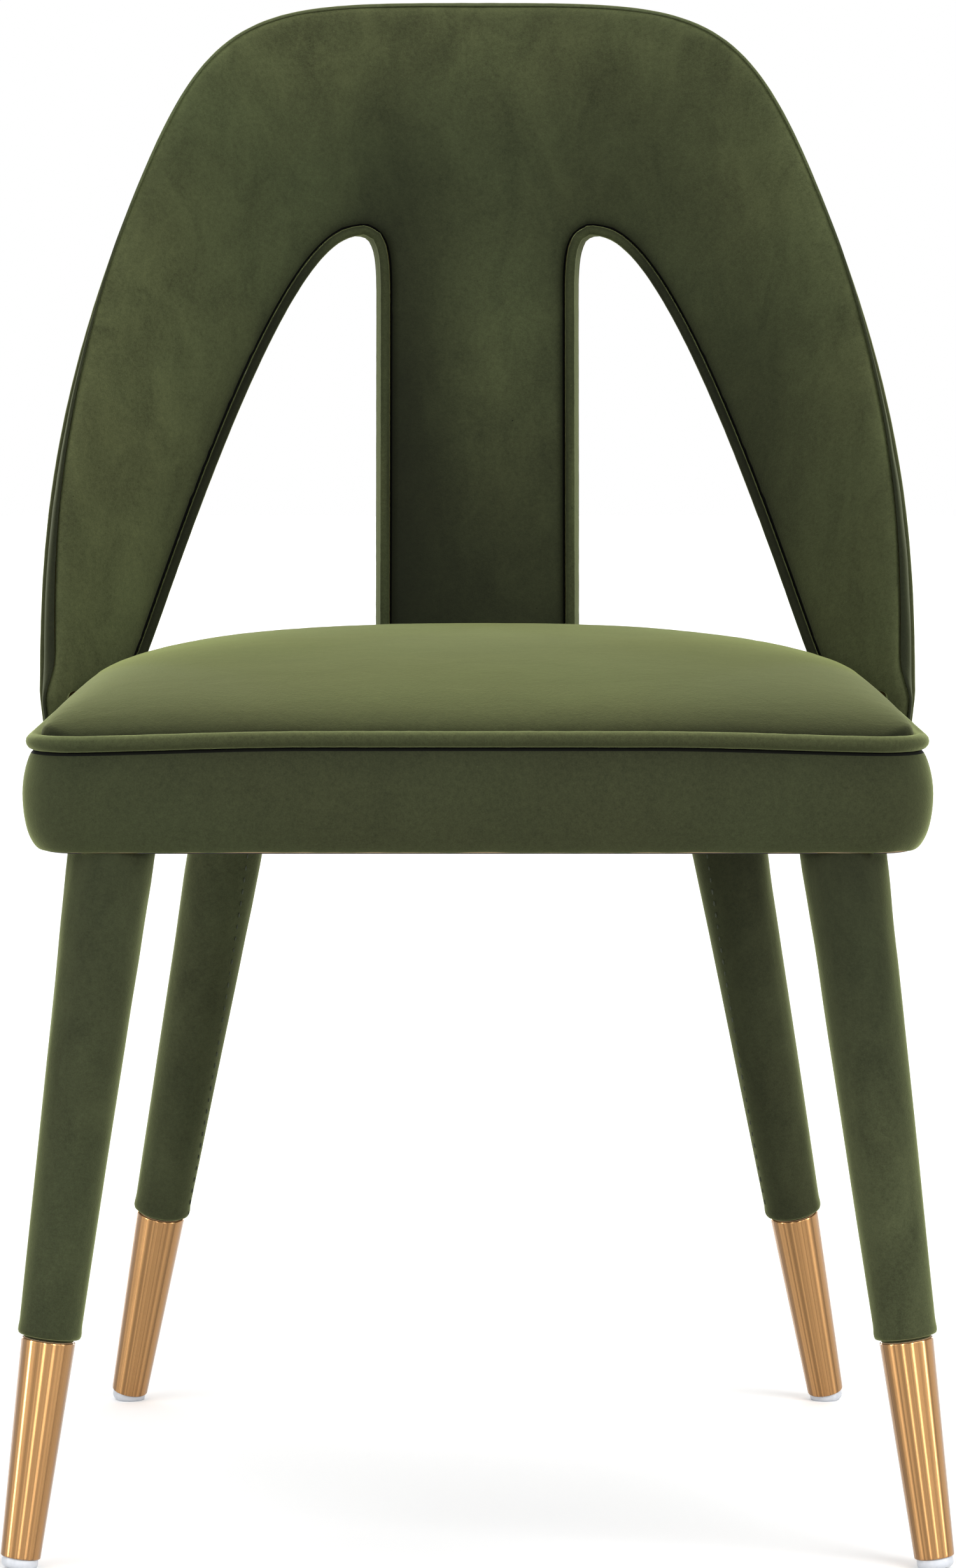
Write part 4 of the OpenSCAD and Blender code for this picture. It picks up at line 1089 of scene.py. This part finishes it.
# %% Painted light and shade on the cushion, and its stuffing
# Painted light and shade: darker near the front seam and towards the front sides, most on the right, and
# lighter towards the rear and its corners, where the sheen catches the light.
forward = smoothstep(-flat[:, 1], -SEAT_FRONT - 90, -SEAT_FRONT - 20)
sideways = smoothstep(np.abs(flat[:, 0]), 60, 190)
behind = smoothstep(flat[:, 1], SEAT_FRONT + 150, SEAT_FRONT + 380)
to_right_side = smoothstep(flat[:, 0], 50, 140)
paint_nap_and_shade(cushion, -0.6 * np.exp(-seam_gap / 14) * forward + behind * (0.6 + 0.9 * sideways)
      - (1 - behind) * (0.35 * sideways + 0.2 * to_right_side))
print("seat cushion swells by", round(stuff(cushion, rim, pressure=4.0, cap=4.0, even_out=80), 1), "mm")
refine(cushion)
declare(cushion, "seat_top_cover", "seat_foam", slot="velvet")

# %% [markdown]
# The band is one section swept round the plan. Its face swells between the seam and the underside, it
# folds under the rail at the bottom, and slow waves run along it where the velvet is pulled.

# %% Seat band
BAND_H, FRAME_R = 57, FACE_R + 11.5


def band_section(lift, wave, fold):
    """(drawn in from the plan, height), round the section."""
    top, low = SEAM_Z - 4.2 + lift, FLOOR_OF_SEAT + fold
    z = np.array([0, 0.5, 1.8, 3.7, 8.0, 13.7, 21.0, 28.0, 35.0, 43.0, 50.0])
    d = np.array([9.0, 8.2, 7.0, 5.7, 3.5, 1.9, 0.7, 0.2, 0.2, 1.2, 3.0])
    face = [(dd + wave * math.sin(math.pi * zz / BAND_H), low + zz / BAND_H * (top - low))
            for dd, zz in zip(d, z)]
    return face + [(5.2, top - 1.2), (7.5, top), (9.6, top), (9.6, low + 1.5), (9.2, low)]


line = seat_path(0, 96, 5)
right = to_right(line)
waves = 0.7 * ripple(line, 46, 41) + 0.4 * ripple(line, 19, 43)
folds = 0.7 * np.abs(ripple(line, 24, 47, 3))
lifts = seam_lift(*line.T)
rings = []
for p, n, lift, wave, fold in zip(line, right, lifts, waves, folds):
    ring = [(*(p - n * d), z) for d, z in band_section(lift, wave, fold)]
    rings.append([(x, min(y, barrel_front(x, z, FRAME_R)), z) for x, y, z in ring])
points, faces = loft(rings, False)
band = mesh_piece("seat_side_band_velvet", points, faces, velvet_band)
# Painted shade under the cord: darker just below the seam, and the strip under the cord gets the dark velvet
# without sheen.
under_seam = SEAM_Z - 6.2 + np.repeat(lifts, len(rings[0])) - places(band)[:, 2]
paint_nap_and_shade(band, -0.4 * np.exp(-np.maximum(under_seam, 0) / 9))
paint_seam_shadow(band, under_seam < 0)
refine(band)
declare(band, "seat_side_band", slot="velvet")
print("band sections:", len(rings))

# %% Seat cord
end = barrel_front(side_x(NEAR_END_Y) - PIPE_IN, SEAM_Z, FACE_R) + 6
line = seat_path(PIPE_IN, end, 4)
line = np.column_stack([line, SEAM_Z + seam_lift(*line.T)])
seat_cord = piping("seat_cord", line, False, PIPE_D, velvet_piping, 9.0, 0.5)
at = places(seat_cord)
upward = (at[:, 2] - SEAM_Z - seam_lift(*at.T[:2])) / (PIPE_D / 2)
# Painted highlight along the top of the cord, and painted shade along its underside.
paint_nap_and_shade(seat_cord, 0.6 * smoothstep(upward, 0.3, 0.8) - 0.4 * smoothstep(-upward, 0.1, 0.8))
declare(seat_cord, "seat_piping", slot="piping_velvet")
print("seat cord made")

# %% [markdown]
# ## Legs
# Each leg is a turned beech cone in a velvet sleeve, which ends in a hem over a metal ferrule with a
# plastic glide. All three are turned forms: a profile spun round the leg's leaning axis. The hem
# stands a little proud of the ferrule, and the shadow in that step draws a dark ring round the leg.

# %% The legs' axes
FEET_W, FERRULE_LOW_D, FERRULE_HIGH_D, MAP_LONG = 510, 21.5, 28.9, 120
FOOT_X = (FEET_W - FERRULE_LOW_D) / 2
# (how far in from the front feet, y of the foot, splay and rake in degrees)
FRONT_STANCE, REAR_STANCE = (0, SEAT_FRONT + 12, 7.5, 3), (31, FACE_Y + 35, 10.5, -12)


def leg_lines(side, rear):
    """A leg's foot, its axis, and the directions across and ahead of the axis."""
    inward, y, splay, rake = REAR_STANCE if rear else FRONT_STANCE
    foot = np.array([side * (FOOT_X - inward), y, 0])
    axis = np.array([-side * math.tan(math.radians(splay)), math.tan(math.radians(rake)), 1])
    axis /= np.linalg.norm(axis)
    across = np.cross((0.0, 1.0, 0.0), axis)
    across /= np.linalg.norm(across)
    return foot, axis, across, np.cross(axis, across)


def on_leg(lines, s, r, a):
    """The point s along a leg and r from its axis, at the angle a round it."""
    foot, axis, across, ahead = lines
    return foot + axis * s + r * (math.sin(a) * across - math.cos(a) * ahead)


def turned(name, side, rear, profile, finish, segments, top=None, shape=None):
    """Spins a closed profile of (distance along the leg, radius) round the leg's axis, with a UV map."""
    lines, count = leg_lines(side, rear), len(profile)
    axis = lines[1]
    points, faces, uvs = [], [], []
    for i in range(segments):
        a, j = 2 * math.pi * i / segments, (i + 1) % segments
        now, then = i / segments, (i + 1) / segments
        for k, (s, r) in enumerate(profile):
            p = on_leg(lines, s, r + (shape(s, a, r) if shape else 0), a)
            if top and p[2] > top:
                p = p - axis * (p[2] - top) / axis[2]
            points.append(p)
            m = (k + 1) % count
            faces.append((i * count + k, j * count + k, j * count + m, i * count + m))
            low, high = s / MAP_LONG, profile[m][0] / MAP_LONG
            uvs.append([(now, low), (then, low), (then, high), (now, high)])
    return mesh_piece(name, points, faces, finish, uvs)

print("front left foot at", [round(float(v)) for v in leg_lines(-1, False)[0]])

# %% [markdown]
# Sleeves: tight velvet with a rolled hem, a few soft creases under the seat where it is pulled up, and
# a sewn seam. The creases are waves added to the radius.

# %% Leg sleeves
HEM_S, SLEEVE_TOP = 125.2, FLOOR_OF_SEAT - 0.3
SLEEVE_FROM, SLEEVE_LOW_D, SLEEVE_HIGH_D, SLEEVE_THICK = 125, 33, 46, 1.6
# The rolled hem: (how far above the hem's line, radius)
HEM = [(-3.4, 12.3), (-3.4, 12.7), (0.8, 13.4), (0.5, 15.0), (0, 15.9), (0.4, 16.5), (1.6, 16.9),
       (3.2, 16.95), (5.5, 16.75), (8, 16.7)]
# Painted light and shade on each leg: all over, and how much more over the top 200 mm
LEG_LIGHT_AND_SHADE = {"front_left": (-0.2, -0.2), "front_right": (0.1, -0.9),
           "rear_left": (-0.1, 0.25), "rear_right": (-0.4, -0.2)}


def leg_length(side, rear):
    return FLOOR_OF_SEAT / leg_lines(side, rear)[1][2]


def sleeve_radius(s, long):
    grown = (s - SLEEVE_FROM) * (SLEEVE_HIGH_D - SLEEVE_LOW_D) / (long - SLEEVE_FROM)
    return (SLEEVE_LOW_D + grown) / 2


def creases(side, rear):
    """A function that says how far one leg's creases lift the velvet at s and a, where it lies at r."""
    long, seed = leg_length(side, rear), side * 3 + rear * 7

    def waves(s, a, size, length):
        return noise.fractal(Vector((math.cos(a) * size, math.sin(a) * size, s / length + seed)), 1.0, 2.0, 2)

    def lift(s, a, r):
        if r < sleeve_radius(s, long) - 1.0:
            return 0.0
        high, low = max(0.0, (s - long + 120) / 120), max(0.0, 1 - (s - HEM_S) / 40)
        v = waves(s, a, 1.6, 42)
        return 0.75 * v * high + 0.25 * waves(s, a, 2.6, 130) + 0.25 * v * low

    return lift


for name, side, rear in LEGS:
    long = leg_length(side, rear)
    stations = np.linspace(HEM_S + 14, long + 4, 40)
    profile = ([(HEM_S + s, r) for s, r in HEM] + [(s, sleeve_radius(s, long)) for s in stations]
               + [(s, sleeve_radius(s, long) - SLEEVE_THICK) for s in stations[::-3]] + [(HEM_S + 2.0, 14.6)])
    sleeve = turned(name + "_leg_sleeve_velvet", side, rear, profile, velvet_leg, 64, SLEEVE_TOP,
                    creases(side, rear))
    mark, slope = LEG_LIGHT_AND_SHADE[name]
    # Painted light and shade: each sleeve lighter or darker all over, and more so towards the seat.
    paint_nap_and_shade(sleeve, mark + slope * smoothstep(places(sleeve)[:, 2], SLEEVE_TOP - 200, SLEEVE_TOP))
    declare(sleeve, name + "_leg_sleeve", slot="leg_velvet")
print("sleeves: 4")

# %% Ferrules and glides
def corner(s, r, radius, start, count=5):
    """A quarter turn of a profile, round the point (s, r)."""
    turns = [start + math.pi / 2 * k / count for k in range(count + 1)]
    return [(s + radius * math.sin(turn), r + radius * math.cos(turn)) for turn in turns]


low_r, high_r, low_s, high_s = FERRULE_LOW_D / 2, FERRULE_HIGH_D / 2, 6.0, 123.2
lean_out = (high_r - low_r) / (high_s - low_s)
FERRULE = (corner(low_s + 0.7, low_r - 0.7, 0.7, -math.pi / 2)
           + [(s, low_r + (s - low_s) * lean_out) for s in np.linspace(low_s + 1.4, high_s - 1.2, 26)]
           + corner(high_s - 0.6, high_r - 0.6, 0.6, 0)
           + [(high_s - 1, high_r - 1.25), (low_s + 1, low_r - 1.2)])
GLIDE = [(7.0, 3.0), (7.0, 9.0), (5.2, 9.6), (3.6, 9.8), (2.2, 9.75), (1.1, 9.3), (0.45, 8.5), (0.12, 7.2),
         (0.1, 3.0), (2.2, 1.6)]
for name, side, rear in LEGS:
    cone = turned(name + "_ferrule_metal", side, rear, FERRULE, gold, 96)
    declare(cone, name + "_ferrule", slot="ferrule_metal")
    disc = turned(name + "_glide_disc", side, rear, GLIDE, nylon, 48)
    lowest = min(v.co.z for v in disc.data.vertices)
    for v in disc.data.vertices:
        v.co.z = max(v.co.z, 0.0)
    declare(disc, name + "_glide", slot="glide_plastic")
print("lowest point of the last glide before it is flattened:", round(lowest / MM, 2))

# %% [markdown]
# ## Stitches
# The sleeves are closed by a hand-sewn seam. Stitches repeat along a path, so Geometry Nodes place them:
# points at an even distance along a curve, one short bar of thread on each, turned to follow the curve.
# A bar is a drawn-out ball with only 48 faces, because there are many of them.

# %% The stitch tree
stitch_tree, gin, gout = new_tree("stitches", {
    "Spacing": ("Float", 0.006), "Length": ("Float", 0.003), "Thickness": ("Float", 0.0005),
    "Seed": ("Int", 1), "Finish": ("Material", None)})
t = stitch_tree
path = add(t, "GeometryNodeMeshToCurve", [("Mesh", gin["Geometry"])])
spots = add(t, "GeometryNodeCurveToPoints", [("Curve", path.outputs[0]), ("Length", gin["Spacing"])],
            mode="LENGTH")
half_length = maths(t, "MULTIPLY", gin["Length"], 0.5)
bar = add(t, "GeometryNodeMeshUVSphere", [("Radius", half_length)], Segments=8, Rings=6)
squeeze = maths(t, "DIVIDE", gin["Thickness"], half_length)
thin = add(t, "ShaderNodeCombineXYZ", [("X", squeeze), ("Y", squeeze)], Z=1.0)
slim = add(t, "GeometryNodeTransform", [("Geometry", bar.outputs["Mesh"]), ("Scale", thin.outputs[0])])
vary = add(t, "FunctionNodeRandomValue", [("Seed", gin["Seed"])], data_type="FLOAT")
vary.inputs[2].default_value, vary.inputs[3].default_value = 0.8, 1.15
placed = add(t, "GeometryNodeInstanceOnPoints",
             [("Points", spots.outputs["Points"]), ("Instance", slim.outputs[0]),
              ("Rotation", spots.outputs["Rotation"]), ("Scale", vary.outputs[1])])
finish_tree(t, placed, gin, gout)


def stitches(name, path, spacing, length, thickness, seed):
    sizes = {"Spacing": spacing * MM, "Length": length * MM, "Thickness": thickness * MM, "Seed": seed}
    return grow(name, path_mesh(name, path), stitch_tree, sizes, thread)


for k, (name, side, rear) in enumerate(LEGS):
    lines, long = leg_lines(side, rear), leg_length(side, rear)
    start, stop = (-33, -74) if rear else (-150, -150)
    path = []
    for s in np.linspace(HEM_S + 3, long - 6, 60):
        share = (s - HEM_S) / (long - HEM_S)
        a = side * math.radians(stop + (start - stop) * share)
        path.append(on_leg(lines, s, sleeve_radius(s, long) + 0.25, a))
    sewn = stitches(name + "_leg_stitches", path, 7.5, 3.2, 0.55, 20 + k)
    declare(sewn, slot="leg_velvet")
print("stitches on a leg:", len(sewn.data.polygons) // 48)

# %% [markdown]
# ## Floor and light
# A studio: a plain pale floor, a soft lamp high on the right, weaker ones on the left and above, and tall
# narrow lamps whose reflections draw the streaks on the ferrules. The background is white to the camera
# and in reflections, and gives the chair only a third of that light.

# %% Floor
def seen_directly(tree):
    """1 for the camera, for reflections and through glass, and 0 for the light that falls on the chair."""
    ray = add(tree, "ShaderNodeLightPath").outputs
    return maths(tree, "MAXIMUM", maths(tree, "MAXIMUM", ray["Is Camera Ray"], ray["Is Glossy Ray"]),
                 ray["Is Transmission Ray"])


FLOOR_GLOW, FLOOR_HALF = 0.17, 12.0
pale, tree, shader = material("pale_floor", Roughness=0.9, Specular_IOR_Level=0.0)
mottle = noise_over(tree, object_place(tree), 3.0, 2.0)
tone = add(tree, "ShaderNodeMix", [(0, mottle.outputs["Fac"])], data_type="RGBA")
tone.inputs[6].default_value, tone.inputs[7].default_value = srgb(251, 251, 251), srgb(253, 253, 253)
seen = seen_directly(tree)
shade = add(tree, "ShaderNodeMix", [(0, seen), (7, tone.outputs[2])], data_type="RGBA")
shade.inputs[6].default_value = srgb(222, 222, 222)
tree.links.new(shade.outputs[2], shader.inputs["Base Color"])
glow = add(tree, "ShaderNodeCombineColor", [("Red", seen), ("Green", seen), ("Blue", seen)])
tree.links.new(glow.outputs[0], shader.inputs["Emission Color"])
shader.inputs["Emission Strength"].default_value = FLOOR_GLOW
mesh = bpy.data.meshes.new("floor")
corners = [(x * FLOOR_HALF, y * FLOOR_HALF, 0) for x, y in ((-1, -1), (1, -1), (1, 1), (-1, 1))]
mesh.from_pydata(corners, [], [(0, 1, 2, 3)])
mesh.materials.append(pale)
floor = stand("floor", mesh)
print("floor", 2 * FLOOR_HALF, "m wide")

# %% World
world = bpy.data.worlds.new("studio")
world.use_nodes = True
scene.world = world
tree = world.node_tree
sky = tree.nodes["Background"]
seen = seen_directly(tree)
FILL = 0.34
tree.links.new(maths(tree, "MULTIPLY_ADD", seen, 1 - FILL, FILL), sky.inputs["Strength"])
sky.inputs["Color"].default_value = (1, 1, 1, 1)
print("fill light from all round:", FILL)

# %% Lamps
def aimed(name, light, azimuth, elevation, distance=4.0, aim=(0, 0, 0.4)):
    """Places a lamp as seen from the chair. Azimuth 0 is the camera's side, and left is negative."""
    holder = stand(name, light)
    a, e = math.radians(azimuth), math.radians(elevation)
    way = Vector((math.sin(a) * math.cos(e), -math.cos(a) * math.cos(e), math.sin(e)))
    holder.location = Vector(aim) + way * distance
    holder.rotation_euler = (-way).to_track_quat("-Z", "Y").to_euler()
    return holder


def far_softbox(name, azimuth, elevation, strength, spread):
    """A very large, far lamp, so that its light is even over the whole floor."""
    light = bpy.data.lights.new(name, "SUN")
    light.energy, light.angle = strength, math.radians(spread)
    aimed(name, light, azimuth, elevation)


def tall_lamp(name, azimuth, elevation, power, width=0.2, height=1.5, distance=2.2):
    """A narrow lamp that is seen only in reflections."""
    light = bpy.data.lights.new(name, "AREA")
    light.shape = "RECTANGLE"
    light.size, light.size_y, light.energy = width, height, power
    aimed(name, light, azimuth, elevation, distance, (0, 0, 0.15)).visible_diffuse = False


far_softbox("key", 46, 36, 1.95, 40)
far_softbox("top", 175, 66, 1.1, 60)
far_softbox("left_fill", -48, 34, 1.25, 60)
for k, (azimuth, power) in enumerate([(-68, 40), (-14, 20), (23, 20), (68, 26), (150, 18), (-150, 22)]):
    tall_lamp("strip_" + str(k), azimuth, 14, power)
print("lamps:", len(bpy.data.lights))
